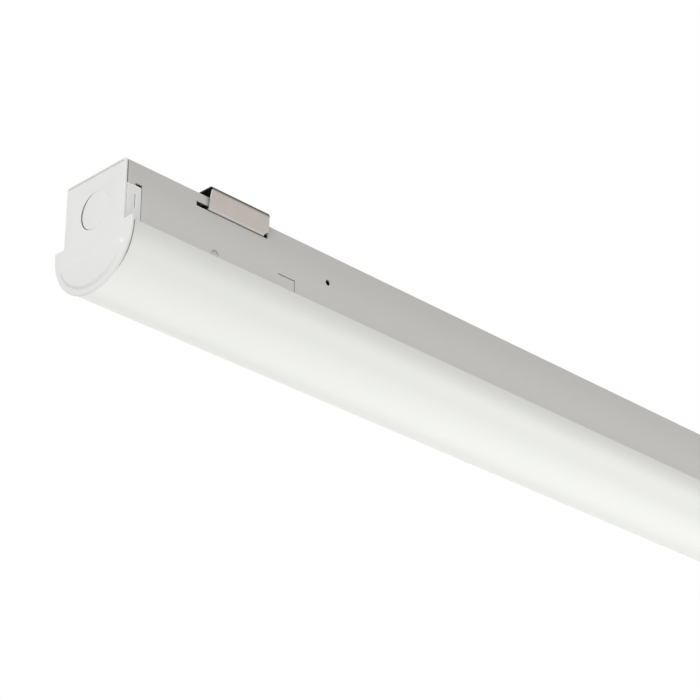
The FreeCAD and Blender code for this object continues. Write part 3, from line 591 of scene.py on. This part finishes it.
# Board rivets
# Push rivets of white nylon hold each board to the tray: a low domed head below, and a split
# stem that is sprung into the hole.
rivet_low, rivet_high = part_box("board_rivets")
board_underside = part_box("led_board_near")[0].z
rivet_stem_radius = 1.4 * mm
rivet_head_radius = 2.9 * mm
rivet_steps = 6
nylon = finish(
    "white nylon", light=(0.78, 0.77, 0.72), dark=(0.72, 0.71, 0.66),
    roughness=(0.38, 0.5), patch=4 * mm, grain=0.5 * mm, depth=0.006 * mm,
)
rivet = bmesh.new()
rivet_dome = board_underside - rivet_low.z
dome_outline = [(0, rivet_low.z)]
for step in range(1, rivet_steps + 1):
    angle = math.pi / 2 * step / rivet_steps
    dome_outline.append((
        rivet_head_radius * math.sin(angle),
        board_underside - rivet_dome * math.cos(angle),
    ))
turned(rivet, dome_outline + [
    (rivet_stem_radius, board_underside), (rivet_stem_radius, rivet_high.z), (0, rivet_high.z),
], round_sides)
copies_at("board_rivets", rivet, nylon)


# Board connectors and grommet
# White poke-in connector blocks join the boards and take the feed leads. A soft black grommet
# lines the hole where those leads come down through the tray.
rubber = finish(
    "black rubber", light=(0.028, 0.028, 0.030), dark=(0.018, 0.018, 0.019),
    roughness=(0.62, 0.75), patch=3 * mm, grain=0.25 * mm, depth=0.01 * mm,
)
for node in ("jumper_connector_near", "jumper_connector_far", "feed_connector"):
    refinished(node, nylon, "gear_tray")
grommet_low, grommet_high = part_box("grommet")
grommet_middle = (grommet_low + grommet_high) / 2
grommet_outer = (grommet_high.x - grommet_low.x) / 2
grommet_lip = 0.8 * mm
grommet_bore = 2.5 * mm
grommet_lip_height = 1.0 * mm
grommet_round = 0.3 * mm


def grommet_outline():
    """Half section of the grommet: two rounded lips with the tray's sheet between them."""
    low, high = grommet_low.z, grommet_high.z
    neck = grommet_outer - grommet_lip
    return [
        (grommet_bore, low + grommet_round), (grommet_bore + grommet_round, low),
        (grommet_outer - grommet_round, low), (grommet_outer, low + grommet_round),
        (grommet_outer, low + grommet_lip_height - grommet_round / 2),
        (neck, low + grommet_lip_height), (neck, high - grommet_lip_height),
        (grommet_outer, high - grommet_lip_height + grommet_round / 2),
        (grommet_outer, high - grommet_round), (grommet_outer - grommet_round, high),
        (grommet_bore + grommet_round, high), (grommet_bore, high - grommet_round),
    ]


grommet = bmesh.new()
turned(grommet, grommet_outline(), round_sides, grommet_middle.xy)
piece_from("grommet", grommet, rubber, "gear_tray")


# Driver
# A galvanised sheet case in two parts, screwed to the tray, with a circuit board inside and a
# grey push-in terminal block at each end.
galvanised = finish(
    "galvanised sheet", light=(0.60, 0.61, 0.61), dark=(0.40, 0.41, 0.42), metal=1.0,
    roughness=(0.30, 0.50), patch=7 * mm, grain=1.4 * mm, depth=0.01 * mm,
)
circuit_board = finish(
    "green circuit board", light=(0.030, 0.130, 0.055), dark=(0.020, 0.090, 0.040),
    roughness=(0.28, 0.40), patch=6 * mm, grain=0.8 * mm, depth=0.03 * mm,
)
terminal_grey = finish(
    "grey terminal plastic", light=(0.30, 0.31, 0.32), dark=(0.26, 0.27, 0.28),
    roughness=(0.38, 0.48), patch=5 * mm, grain=0.3 * mm, depth=0.008 * mm,
)
for node, material, slot in (
    ("driver_base", galvanised, "plated_steel"),
    ("driver_cover", galvanised, "plated_steel"),
    ("driver_board", circuit_board, "driver_board"),
    ("driver_terminal_output", terminal_grey, "terminal_grey"),
    ("driver_terminal_input", terminal_grey, "terminal_grey"),
):
    refinished(node, material, "gear_tray")


# Driver and ground screws
# Small plated pan head screws with a cross recess go down through the case's feet and the ground
# lead's ring into the tray.
pan_head_radius = 2.95 * mm
pan_head_height = 1.75 * mm
pan_rim_share = 1 / 3
ground_head_radius = 2.05 * mm
small_shank_radius = 1.55 * mm
small_thread_pitch = 0.7 * mm
small_thread_depth = 0.2 * mm
recess_width = 0.75 * mm
recess_depth = 1.0 * mm
recess_share = 0.62
pan_steps = 5


def pan_screw(low, high, head_radius):
    """A pan head screw, point down, before its recess is cut."""
    head_low = high - pan_head_height
    shell = bmesh.new()
    outline = [(0, head_low), (head_radius, head_low)]
    for step in range(1, pan_steps):
        angle = math.pi / 2 * step / pan_steps
        outline.append((
            head_radius * (1 - pan_rim_share * (1 - math.cos(angle))),
            head_low + pan_head_height * (pan_rim_share + (1 - pan_rim_share) * math.sin(angle)),
        ))
    outline += [(head_radius / 2, high), (0, high)]
    turned(shell, outline, round_sides)
    shank = [(radius, low + head_low - height) for radius, height in threaded(
        small_shank_radius, small_thread_depth, small_thread_pitch,
        low, head_low, small_shank_radius,
    )]
    turned(shell, shank[::-1], round_sides)
    return shell


def recessed(shell, high, head_radius):
    """Cuts a cross recess into a screw head by a boolean on scratch objects."""
    reach = head_radius * recess_share
    cutter = bmesh.new()
    for half_x, half_y in ((reach, recess_width / 2), (recess_width / 2, reach)):
        spread = Matrix.Diagonal((half_x, half_y, recess_depth, 1))
        bmesh.ops.create_cube(cutter, size=2, matrix=Matrix.Translation((0, 0, high)) @ spread)
    blank = placed_mesh("screw_blank", shell)
    tool = placed_mesh("recess_tool", cutter)
    cut = blank.modifiers.new("cut", "BOOLEAN")
    cut.operation = "DIFFERENCE"
    cut.solver = "EXACT"
    cut.use_self = True
    cut.object = tool
    made = result_of(blank, cut)
    discard(tool)
    return made


for node, head_radius in (("driver_screws", pan_head_radius), ("ground_screw", ground_head_radius)):
    low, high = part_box(node)
    screw = recessed(pan_screw(low.z, high.z, head_radius), high.z, head_radius)
    copies_at(node, screw, zinc)


# Leads
# Solid core leads in thin coloured insulation run from the driver to the boards and to the supply
# connector. Each lies straight and turns its corners in an easy bend.
lead_radius = 0.98 * mm
lead_bend = 4.0 * mm
lead_sides = 20
feed_straight = 20 * mm
supply_straight = 14 * mm
supply_slant = 16 * mm
ground_entry = 1.6 * mm
ground_straight = 7 * mm
ground_run_in = 3.5 * mm
lead_bend_steps = 8


def lead_tree():
    """A round lead along a line of straight runs, with its corners turned to arcs."""
    tree, given = new_tree("Geometry", "insulated lead", {
        "Route": "Geometry", "Radius": "Float", "Bend": "Float", "Sides": "Int",
        "Finish": "Material",
    }, {"Shape": "Geometry"})
    route = add_node(tree, "GeometryNodeMeshToCurve", {"Mesh": given["Route"]})
    bends = add_node(tree, "GeometryNodeFilletCurve", {
        "Curve": route["Curve"], "Radius": given["Bend"], "Count": lead_bend_steps,
        "Limit Radius": True,
    }, mode="POLY")
    ring = add_node(tree, "GeometryNodeCurvePrimitiveCircle", {
        "Radius": given["Radius"], "Resolution": given["Sides"],
    })
    tube = add_node(tree, "GeometryNodeCurveToMesh", {
        "Curve": bends["Curve"], "Profile Curve": ring["Curve"], "Fill Caps": True,
    })
    return end_tree(tree, given, tube["Mesh"])


insulated_lead = lead_tree()
insulation = {
    colour: finish(
        colour + " insulation", light, dark,
        roughness=(0.30, 0.42), patch=12 * mm, grain=0.5 * mm, depth=0.006 * mm,
    )
    for colour, light, dark in (
        ("red", (0.42, 0.020, 0.015), (0.36, 0.015, 0.012)),
        ("black", (0.020, 0.020, 0.021), (0.014, 0.014, 0.015)),
        ("white", (0.74, 0.73, 0.70), (0.68, 0.67, 0.64)),
        ("green", (0.020, 0.21, 0.060), (0.015, 0.17, 0.050)),
    )
}


def add_lead(node, routes, colour, bend=lead_bend):
    """One finished piece of leads on the tray, each along its own list of places."""
    spots = []
    edges = []
    for route in routes:
        first = len(spots)
        spots += route
        edges += [(step, step + 1) for step in range(first, len(spots) - 1)]
    line = bpy.data.meshes.new(node + "_route")
    line.from_pydata(spots, edges, [])
    tube = made_by(insulated_lead, line, {
        "Radius": lead_radius, "Bend": bend, "Sides": lead_sides, "Finish": insulation[colour],
    })
    piece_from(node, outward(tube), insulation[colour], "gear_tray")


for node, colour in (("feed_lead_positive", "red"), ("feed_lead_negative", "black")):
    low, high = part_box(node)
    start_y, end_y = low.y + lead_radius, high.y - lead_radius
    entry_z, mouth_z = low.z + lead_radius, high.z - lead_radius
    add_lead(node, [[
        (high.x, start_y, mouth_z),
        (high.x - feed_straight, start_y, mouth_z),
        (grommet_middle.x + feed_straight, end_y, mouth_z),
        (grommet_middle.x, end_y, mouth_z),
        (grommet_middle.x, end_y, entry_z),
        (low.x, end_y, entry_z),
    ]], colour)
for node, colour in (("line_lead", "black"), ("neutral_lead", "white")):
    low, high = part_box(node)
    y = (low.y + high.y) / 2
    end_z, mouth_z = low.z + lead_radius, high.z - lead_radius
    add_lead(node, [[
        (low.x, y, mouth_z),
        (low.x + supply_straight, y, mouth_z),
        (low.x + supply_straight + supply_slant, y, end_z),
        (high.x, y, end_z),
    ]], colour)
low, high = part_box("ground_lead")
add_lead("ground_lead", [[
    (low.x, low.y + lead_radius, high.z - lead_radius),
    (low.x + ground_straight, low.y + lead_radius, high.z - lead_radius),
    (high.x - ground_entry - ground_run_in, high.y - lead_radius, low.z + lead_radius),
    (high.x, high.y - lead_radius, low.z + lead_radius),
]], "green", lead_bend / 2)
low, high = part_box("board_jumpers")
jumper_z = (low.z + high.z) / 2
add_lead("board_jumpers", [
    [(low.x, y, jumper_z), (high.x, y, jumper_z)] for _, y, _ in solids_of("board_jumpers")
], "white")


# Ground ring and supply connector
# The ground lead is crimped in a tinned copper ring tongue. The supply connector is a two part
# orange block, so that the light can be unplugged from its supply wires.
tinned_copper = finish(
    "tinned copper", light=(0.70, 0.52, 0.40), dark=(0.58, 0.42, 0.32), metal=1.0,
    roughness=(0.24, 0.36), patch=2 * mm, grain=0.3 * mm, depth=0.004 * mm,
)
orange_plastic = finish(
    "orange connector plastic", light=(0.72, 0.20, 0.020), dark=(0.64, 0.17, 0.016),
    roughness=(0.30, 0.40), patch=5 * mm, grain=0.3 * mm, depth=0.008 * mm,
)
ring_outer = 3.75 * mm
ring_eye = 1.85 * mm
ring_sheet = 0.8 * mm
ring_round = 0.15 * mm
barrel_outer = 1.58 * mm
barrel_bore = 1.06 * mm
ring_low, ring_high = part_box("ground_ring")
ring_x, ring_y = ring_high.x - ring_outer, (ring_low.y + ring_high.y) / 2
barrel_length = ring_x - ring_outer + ring_round - ring_low.x
tongue = bmesh.new()
turned(tongue, [
    (ring_eye, ring_low.z), (ring_outer - ring_round, ring_low.z),
    (ring_outer, ring_low.z + ring_round), (ring_outer, ring_low.z + ring_sheet - ring_round),
    (ring_outer - ring_round, ring_low.z + ring_sheet), (ring_eye, ring_low.z + ring_sheet),
], round_sides, (ring_x, ring_y))
barrel = turned(tongue, [
    (barrel_bore, 0), (barrel_outer - ring_round, 0), (barrel_outer, ring_round),
    (barrel_outer, barrel_length - ring_round), (barrel_outer - ring_round, barrel_length),
    (barrel_bore, barrel_length),
], round_sides)
barrel_place = Matrix.Translation((ring_low.x, ring_y, ring_low.z + barrel_outer))
lay_along = Matrix.Rotation(math.pi / 2, 4, "Y")
bmesh.ops.transform(tongue, matrix=barrel_place @ lay_along, verts=barrel)
piece_from("ground_ring", tongue, tinned_copper, "gear_tray")
refinished("supply_plug", orange_plastic, "gear_tray")
refinished("supply_socket", orange_plastic, "wire_socket")


# Lens
# The lens is one frosted extrusion: a half round belly, turned in at its top edges to two legs
# that grip the tray. Drawing it through the die leaves very faint lines along its length. It is
# darker along its top, which stands in for the way the frosted plastic spreads light.
lens_low, lens_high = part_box("lens")
lens_wall = 1.2 * mm
lens_outer = lens_high.y
lens_corner = 1.35 * mm
lens_leg_inner = 23.3 * mm
lens_leg_height = 10.0 * mm
lens_leg_bend = 0.5 * mm
lens_bead_radius = 0.6 * mm
lens_bead_proud = 0.25 * mm
lens_bead_drop = 7.9 * mm
lens_arc_steps = 60
lens_end_reach = 0.95 * mm
lens_end_start_share = 0.5
lens_shade_depth = 16 * mm
lens_shade = (0.71, 0.72, 0.69)


def rounded_loop(corners, steps):
    """A closed loop of points from corners given as a place and a radius, turned by arcs."""
    loop = []
    count = len(corners)
    for index, (place, radius) in enumerate(corners):
        place = Vector(place)
        before = (Vector(corners[index - 1][0]) - place).normalized()
        after = (Vector(corners[(index + 1) % count][0]) - place).normalized()
        if radius == 0:
            loop.append(place)
            continue
        half = before.angle(after) / 2
        reach = radius / math.tan(half)
        centre = place + (before + after).normalized() * (radius / math.sin(half))
        start = place + before * reach - centre
        turn = start.angle_signed(place + after * reach - centre)
        for step in range(steps + 1):
            arm = start.copy()
            arm.rotate(Matrix.Rotation(-turn * step / steps, 2))
            loop.append(centre + arm)
    return loop


def mirrored(half):
    """Corners of an outline that is the same on both sides, from those of one side."""
    return half + [((-y, z), radius) for (y, z), radius in half[::-1]]


def lens_section():
    """The lens's outline in the YZ plane: along its inner side, and back along its outer one."""
    corners = []
    for inset, way in ((lens_wall, 1), (0, -1)):
        leg, side, top = lens_leg_inner + inset, lens_outer - inset, lens_high.z - inset
        half = [
            ((-leg, lens_high.z - lens_leg_height), 0),
            ((-leg, top), lens_leg_bend + lens_wall - inset),
            ((-side, top), lens_corner - inset),
            ((-side, lens_low.z + inset), side),
        ]
        corners += mirrored(half)[::way]
    return rounded_loop(corners, lens_arc_steps)


def extrusion_tree():
    """Draws a closed section out along X by a length, and closes its ends."""
    tree, given = new_tree("Geometry", "drawn along the light", {
        "Section": "Geometry", "Length": "Float", "Finish": "Material",
    }, {"Shape": "Geometry"})
    along = add_node(tree, "ShaderNodeCombineXYZ", {"X": given["Length"]})
    drawn = add_node(tree, "GeometryNodeExtrudeMesh", {
        "Mesh": given["Section"], "Offset": along["Vector"], "Individual": False,
    }, mode="FACES")
    turned_over = add_node(tree, "GeometryNodeFlipFaces", {"Mesh": given["Section"]})
    both = add_node(tree, "GeometryNodeJoinGeometry", {"Geometry": drawn["Mesh"]})["Geometry"]
    set_sockets(tree, both.node, {"Geometry": turned_over["Mesh"]})
    weld = add_node(tree, "GeometryNodeMergeByDistance", {
        "Geometry": both, "Distance": weld_distance,
    })
    return end_tree(tree, given, weld["Geometry"])


def eased(share):
    """A soft rise from 0 to 1, flat at both ends."""
    return share * share * (3 - 2 * share)


opal = finish(
    "frosted lens", light=(0.87, 0.88, 0.84), dark=(0.84, 0.85, 0.81),
    roughness=(0.34, 0.38), patch=220 * mm, grain=1.2 * mm, drawn=300 * mm, depth=0.004 * mm,
)
add_part_colour(
    opal, height_mask(opal, lens_high.z - lens_shade_depth, lens_high.z), lens_shade
)
section = bpy.data.meshes.new("lens_section")
outline = lens_section()
section.from_pydata([(lens_low.x, y, z) for y, z in outline], [], [list(range(len(outline)))])
lens_shell = made_by(extrusion_tree(), section, {
    "Length": lens_high.x - lens_low.x, "Finish": opal,
})
bead_z = lens_high.z - lens_bead_drop
for side in (-1, 1):
    bead_y = side * (lens_leg_inner - lens_bead_proud + lens_bead_radius)
    ends = [
        [
            lens_shell.verts.new((x, bead_y + y, bead_z + z))
            for y, z in circle(lens_bead_radius, round_sides)
        ]
        for x in (lens_low.x, lens_high.x)
    ]
    for ring in ends:
        lens_shell.faces.new(ring)
    walls(lens_shell, ends)
for vertex in lens_shell.verts:
    down = (lens_high.z - vertex.co.z) / (lens_high.z - lens_low.z)
    share = max(0.0, (down - lens_end_start_share) / (1 - lens_end_start_share))
    vertex.co.x += math.copysign(lens_end_reach * eased(share), vertex.co.x)
piece_from("lens", outward(lens_shell), opal, "diffuser")


# End caps
# A cap is moulded white plastic: a plate with soft edges that covers channel and lens, a raised
# pad low on its face, a rim along its top, and a snap tab let into each side of the channel.
cap_low, cap_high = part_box("end_cap_near")
cap_half_width = channel_high.y
cap_skirt = cap_high.y
cap_top = channel_high.z
cap_centre_z = cap_low.z + cap_skirt
cap_shoulder_z = cap_top - 35.6 * mm
cap_face_x = -609.6 * mm
cap_plate = 1.4 * mm
cap_corner = 1.2 * mm
cap_step_corner = 0.5 * mm
cap_edge_round = 0.45 * mm
cap_edge_steps = 4
corner_steps = 6
skirt_steps = 72
knockout_z = cap_top - 21.9 * mm
knockout_eye = 10.6 * mm
knockout_steps = 96
knockout_edge_round = 0.1 * mm
knockout_undercut = 0.5 * mm
pad_inset = 2.7 * mm
pad_top_z = cap_top - 45.3 * mm
pad_corner = 3.4 * mm
pad_slope = 2.2 * mm
pad_proud = 1.2 * mm
pad_rise_steps = 10
rim_height = 0.85 * mm
rim_proud = 0.35 * mm
rim_slope = 0.25 * mm
rim_corner = 0.35 * mm
rim_edge = 0.5 * mm
groove_width = 0.35 * mm
groove_depth = 0.4 * mm
tab_reach = 11.1 * mm
tab_thickness = 2.0 * mm
tab_top_z = cap_top - 13.8 * mm
tab_corner = 1.0 * mm
tab_edge_round = 0.2 * mm
tab_slit_x = 7.2 * mm
tab_slit_width = 0.6 * mm
tab_slit_top = cap_top - 19.0 * mm
tab_slit_height = 7.7 * mm
tab_groove_width = 0.7 * mm
tab_groove_depth = 0.35 * mm
tab_web = 0.5 * mm
tab_pocket_height = 1.3 * mm
nose_from_tip = 4.3 * mm
nose_to_tip = 0.5 * mm
nose_height = 1.2 * mm
nose_depth = 0.85 * mm
tongue_half_width = 15 * mm
tongue_reach = 13 * mm
tongue_thickness = 1.6 * mm
tongue_top = cap_top - 0.9 * mm
shelf_half_width = 21.9 * mm
shelf_reach = 8 * mm
shelf_top = cap_top - 37.6 * mm
cap_plastic = finish(
    "moulded white plastic", light=(0.785, 0.785, 0.775), dark=(0.765, 0.765, 0.755),
    roughness=(0.36, 0.44), patch=30 * mm, grain=0.5 * mm, depth=0.004 * mm,
)


def arc(centre, radius, start, end, steps):
    """Points of an arc from one angle to another, in degrees."""
    spots = []
    for step in range(steps + 1):
        angle = math.radians(start + (end - start) * step / steps)
        spots.append(centre + Vector((math.cos(angle), math.sin(angle))) * radius)
    return spots


def moved_in(loop, distance):
    """The loop moved to its left by a distance, so an outline shrinks and a hole grows."""
    moved = []
    for before, spot, after in zip(loop[-1:] + loop, loop, loop[1:] + loop[:1]):
        way = (spot - before).normalized() + (after - spot).normalized()
        normal = Vector((-way.y, way.x))
        moved.append(spot + normal * (2 * distance / normal.length_squared))
    return moved


def stepped_walls(shell, loop, levels, place):
    """Rings of faces from a loop, one ring to each next level of inset and depth."""
    rings = [
        [shell.verts.new(place(spot, depth)) for spot in moved_in(loop, inset)]
        for inset, depth in levels
    ]
    walls(shell, rings)
    return rings[0], rings[-1]


def soft_levels(radius, thickness, steps):
    """Inset and depth of a plate's side, from its rounded front edge to its back."""
    levels = []
    for step in range(steps + 1):
        angle = math.pi / 2 * step / steps
        levels.append((radius * (1 - math.sin(angle)), radius * (1 - math.cos(angle))))
    return levels + [(0, thickness)]


def raised_levels(slope, rise, steps):
    """Inset and depth of a soft step up from a face, flat at its foot and its top."""
    shares = [step / steps for step in range(steps + 1)]
    return [(slope * share, -rise * eased(share)) for share in shares]


def near_face(spot, depth):
    """A point of the near cap from its place in the face and its depth behind it."""
    return (cap_face_x + depth, spot.x, spot.y)


def skirt_outline():
    """The cap's outline: shoulders that step in to the channel, above a half round skirt."""
    shoulders = rounded_loop(mirrored([
        ((cap_skirt, cap_centre_z), 0),
        ((cap_skirt, cap_shoulder_z), cap_step_corner),
        ((cap_half_width, cap_shoulder_z), cap_step_corner / 2),
        ((cap_half_width, cap_top), cap_corner),
    ]), corner_steps)
    centre = Vector((0, cap_centre_z))
    return shoulders + arc(centre, cap_skirt, 180, 360, skirt_steps)[1:-1]


def pad_outline():
    """A chord cut from the skirt, with rounded ends."""
    centre = Vector((0, cap_centre_z))
    radius = cap_skirt - pad_inset
    reach = math.sqrt((radius - pad_corner) ** 2 - (pad_top_z - pad_corner - cap_centre_z) ** 2)
    left, right = (Vector((y, pad_top_z - pad_corner)) for y in (-reach, reach))
    lean = math.degrees(math.atan2(right.y - centre.y, right.x))
    loop = arc(left, pad_corner, 90, 180 - lean, corner_steps * 2)
    loop += arc(centre, radius, 180 - lean, 360 + lean, skirt_steps)[1:-1]
    return loop + arc(right, pad_corner, lean, 90, corner_steps * 2)


def eye_outline():
    """The knockout's circle as a hole, so it runs the other way round."""
    return arc(Vector((0, knockout_z)), knockout_eye, 360, 0, knockout_steps)[:-1]


def box_loop(low, high, radius):
    return rounded_loop([
        ((low[0], low[1]), radius), ((high[0], low[1]), radius),
        ((high[0], high[1]), radius), ((low[0], high[1]), radius),
    ], corner_steps)


def block(shell, low, high, edge):
    """A block with its edges taken off."""
    low, high = Vector(low), Vector(high)
    spread = Matrix.Translation((low + high) / 2) @ Matrix.Diagonal((*(high - low), 1))
    made = bmesh.ops.create_cube(shell, size=1, matrix=spread)["verts"]
    edges = list({one for vertex in made for one in vertex.link_edges})
    bmesh.ops.bevel(shell, geom=edges, offset=edge, segments=2, profile=0.5, affect="EDGES")


def wedge(shell, outline, low, high):
    """An upright prism over an outline in plan."""
    ends = [[shell.verts.new((x, y, z)) for x, y in outline] for z in (low, high)]
    for end in ends:
        shell.faces.new(end)
    walls(shell, ends)


def add_face_forms(shell):
    """The near cap's plate with its eye, and the pad, rim and groove on its face."""
    side_levels = soft_levels(cap_edge_round, cap_plate, cap_edge_steps)
    eye_levels = soft_levels(knockout_edge_round, cap_plate, cap_edge_steps)[:-1]
    eye_levels.append((knockout_undercut, cap_plate))
    front, back = stepped_walls(shell, skirt_outline(), side_levels, near_face)
    eye_front, eye_back = stepped_walls(shell, eye_outline(), eye_levels, near_face)
    rim_reach = cap_half_width - cap_corner
    rim_low = cap_top - rim_edge - rim_height
    groove_top = rim_low - groove_width / 2
    rim = box_loop((-rim_reach, rim_low), (rim_reach, cap_top - rim_edge), rim_corner)
    groove = box_loop(
        (-rim_reach, groove_top - groove_width), (rim_reach, groove_top), groove_width / 3
    )
    feet, tops = zip(*(
        stepped_walls(shell, loop, levels, near_face)
        for loop, levels in (
            (pad_outline(), raised_levels(pad_slope, pad_proud, pad_rise_steps)),
            (rim, raised_levels(rim_slope, rim_proud, cap_edge_steps)),
            (groove, raised_levels(groove_width / 4, -groove_depth, cap_edge_steps)),
        )
    ))
    filled(shell, [front, eye_front, *feet])
    filled(shell, [back, eye_back])
    for loop in tops:
        shell.faces.new(loop)


def add_tab(shell, side):
    """A snap tab with its slit, the thin web that joins it to the plate, and its nose."""
    def side_face(spot, depth):
        return (spot.x, side * (cap_half_width - depth), spot.y)

    inner_x = cap_face_x + cap_plate
    tip_x = cap_face_x + tab_reach
    root_x = inner_x + tab_groove_width
    tab = rounded_loop([
        ((root_x, cap_shoulder_z), 0), ((tip_x, cap_shoulder_z), 0),
        ((tip_x, tab_top_z), tab_corner), ((root_x, tab_top_z), 0),
    ], corner_steps)
    slit_left = cap_face_x + tab_slit_x - tab_slit_width / 2
    slit = box_loop(
        (slit_left, tab_slit_top - tab_slit_height),
        (slit_left + tab_slit_width, tab_slit_top), tab_slit_width / 3,
    )[::-1]
    levels = soft_levels(tab_edge_round, tab_thickness, cap_edge_steps)
    tab_front, tab_back = stepped_walls(shell, tab, levels, side_face)
    slit_front, slit_back = stepped_walls(shell, slit, levels, side_face)
    filled(shell, [tab_front, slit_front])
    filled(shell, [tab_back, slit_back])
    web_y = sorted(
        side * (cap_half_width - depth) for depth in (tab_groove_depth, tab_groove_depth + tab_web)
    )
    block(
        shell, (inner_x - tab_edge_round, web_y[0], cap_shoulder_z + tab_pocket_height),
        (root_x + tab_edge_round, web_y[1], tab_top_z - tab_edge_round), tab_edge_round / 2,
    )
    inner_y = side * (cap_half_width - tab_thickness)
    wedge(shell, [
        (tip_x - nose_from_tip, side * (cap_half_width - nose_depth)),
        (tip_x - nose_to_tip, inner_y), (tip_x - nose_from_tip, inner_y),
    ], tab_top_z - tab_edge_round, tab_top_z + nose_height)


def cap_shell():
    """The near cap as a bmesh: its face, two tabs, and the tongue and shelf behind it."""
    shell = bmesh.new()
    add_face_forms(shell)
    add_tab(shell, -1)
    add_tab(shell, 1)
    inner_x = cap_face_x + cap_plate - tab_edge_round
    for half_width, reach, top in (
        (tongue_half_width, tongue_reach, tongue_top), (shelf_half_width, shelf_reach, shelf_top),
    ):
        block(
            shell, (inner_x, -half_width, top - tongue_thickness),
            (cap_face_x + reach, half_width, top), tab_edge_round,
        )
    return outward(shell)


def add_at_both_ends(node, make_shell):
    """A piece of the near cap, and the same piece turned round for the far cap."""
    for end, turn in (("near", 0.0), ("far", math.pi)):
        shell = make_shell()
        bmesh.ops.transform(shell, matrix=Matrix.Rotation(turn, 4, "Z"), verts=shell.verts)
        piece_from(node + end, shell, cap_plastic, end + "_cap")


add_at_both_ends("end_cap_", cap_shell)


# Cap knockouts
# Each cap's knockout is a disc moulded with it. It is still joined flat along its tie side, and
# the other side is pushed in a little, so a thin dark gap opens there.
disc_sheet = 1.1 * mm
disc_gap = 0.5 * mm
disc_push = 0.55 * mm
disc_open_turn = math.radians(100)
disc_bend_soft = 2.0 * mm
disc_rings = 8


def disc_gap_at(angle):
    """The gap beside the disc: widest at its open side, and none beyond its open turn."""
    shut = math.cos(disc_open_turn)
    return disc_gap * max(0.0, math.cos(angle) - shut) / (1 - shut)


def disc_depth_at(across):
    """How far the disc is pushed in at a place across it, from its bend to its open side."""
    bend = knockout_eye * math.cos(disc_open_turn)
    reach, whole = (
        math.hypot(length, disc_bend_soft) - disc_bend_soft
        for length in (max(0.0, across - bend), knockout_eye - bend)
    )
    return disc_push * reach / whole


def disc_shell():
    """The near disc as a bmesh: rings from its middle to its soft edge, in front and behind."""
    shell = bmesh.new()
    edge_levels = soft_levels(knockout_edge_round, disc_sheet, cap_edge_steps)
    levels = [(ring / disc_rings, 0, 0) for ring in range(disc_rings)]
    levels += [(1, inset, depth) for inset, depth in edge_levels]
    levels += [(ring / disc_rings, 0, disc_sheet) for ring in reversed(range(disc_rings))]
    rows = []
    for share, inset, depth in levels:
        row = []
        for step in range(knockout_steps if share else 1):
            angle = 2 * math.pi * step / knockout_steps
            radius = (knockout_eye - disc_gap_at(angle)) * share - inset
            across = radius * math.cos(angle)
            x = cap_face_x + depth + disc_depth_at(across)
            row.append(shell.verts.new((x, across, knockout_z + radius * math.sin(angle))))
        rows.append(row if share else row * knockout_steps)
    walls(shell, rows)
    return outward(shell)


add_at_both_ends("cap_knockout_", disc_shell)


# Camera
# The photograph was taken from below and to one side of the near end, with a long lens.
camera_place = (-1.25233, -0.81561, -0.61912)
camera_right = Vector((0.702959, -0.711230, -0.000516))
camera_up = Vector((-0.316650, -0.313617, 0.895197))
camera_focal = 121.31
sensor_width = 36.0
camera_data = bpy.data.cameras.new("camera")
camera_data.lens = camera_focal
camera_data.sensor_width = sensor_width
camera = placed("camera", camera_data)
camera_back = camera_right.cross(camera_up)
camera.matrix_world = Matrix.Translation(camera_place) @ Matrix(
    (camera_right, camera_up, camera_back)
).transposed().to_4x4()
bpy.context.scene.camera = camera


# Floor, lamps and background
# A pale floor lies below the light, broad soft lamps stand round it, and the background is white
# to the camera and in reflections.
floor_drop = 1.0
floor_reach = 6.0
floor_colour = (0.86, 0.86, 0.86)
floor_roughness = 0.8
ambient = 0.52
floor_mesh = bpy.data.meshes.new("floor")
floor_corners = [(x * floor_reach, y * floor_reach, -floor_drop) for x, y in square]
floor_mesh.from_pydata(floor_corners, [], [(0, 1, 2, 3)])
floor_paint = bpy.data.materials.new("pale floor")
floor_paint.use_nodes = True
set_sockets(floor_paint.node_tree, floor_paint.node_tree.nodes["Principled BSDF"], {
    "Base Color": (*floor_colour, 1), "Roughness": floor_roughness,
})
floor_mesh.materials.append(floor_paint)
placed("floor", floor_mesh)

world = bpy.data.worlds.new("white studio")
bpy.context.scene.world = world
world.use_nodes = True
sky = world.node_tree
rays = add_node(sky, "ShaderNodeLightPath")
either = add_node(sky, "ShaderNodeMath", {
    0: rays["Is Camera Ray"], 1: rays["Is Glossy Ray"],
}, operation="MAXIMUM")
any_seen = add_node(sky, "ShaderNodeMath", {
    0: either[0], 1: rays["Is Transmission Ray"],
}, operation="MAXIMUM")
shade = add_node(sky, "ShaderNodeMix", {
    "Factor": any_seen[0], "A": (ambient, ambient, ambient, 1), "B": (1, 1, 1, 1),
}, data_type="RGBA")
set_sockets(sky, sky.nodes["Background"], {"Color": shade["Result"], "Strength": 1.0})

for name, place, aim, width, power in (
    ("near_end_lamp", (-3.3, -1.2, 1.3), (-0.6, 0, 0), 2.2, 54),
    ("low_lamp", (0.2, 0.1, -0.95), (0.2, 0.1, 0), 2.0, 7.5),
    ("far_lamp", (0.9, -1.3, -0.4), (0.1, 0, 0), 0.9, 4.2),
):
    lamp_data = bpy.data.lights.new(name, "AREA")
    lamp_data.shape = "DISK"
    lamp_data.size = width
    lamp_data.energy = power
    lamp = placed(name, lamp_data)
    towards = (Vector(aim) - Vector(place)).to_track_quat("-Z", "Y")
    lamp.matrix_world = Matrix.Translation(place) @ towards.to_matrix().to_4x4()

bpy.context.scene.view_settings.view_transform = "Standard"
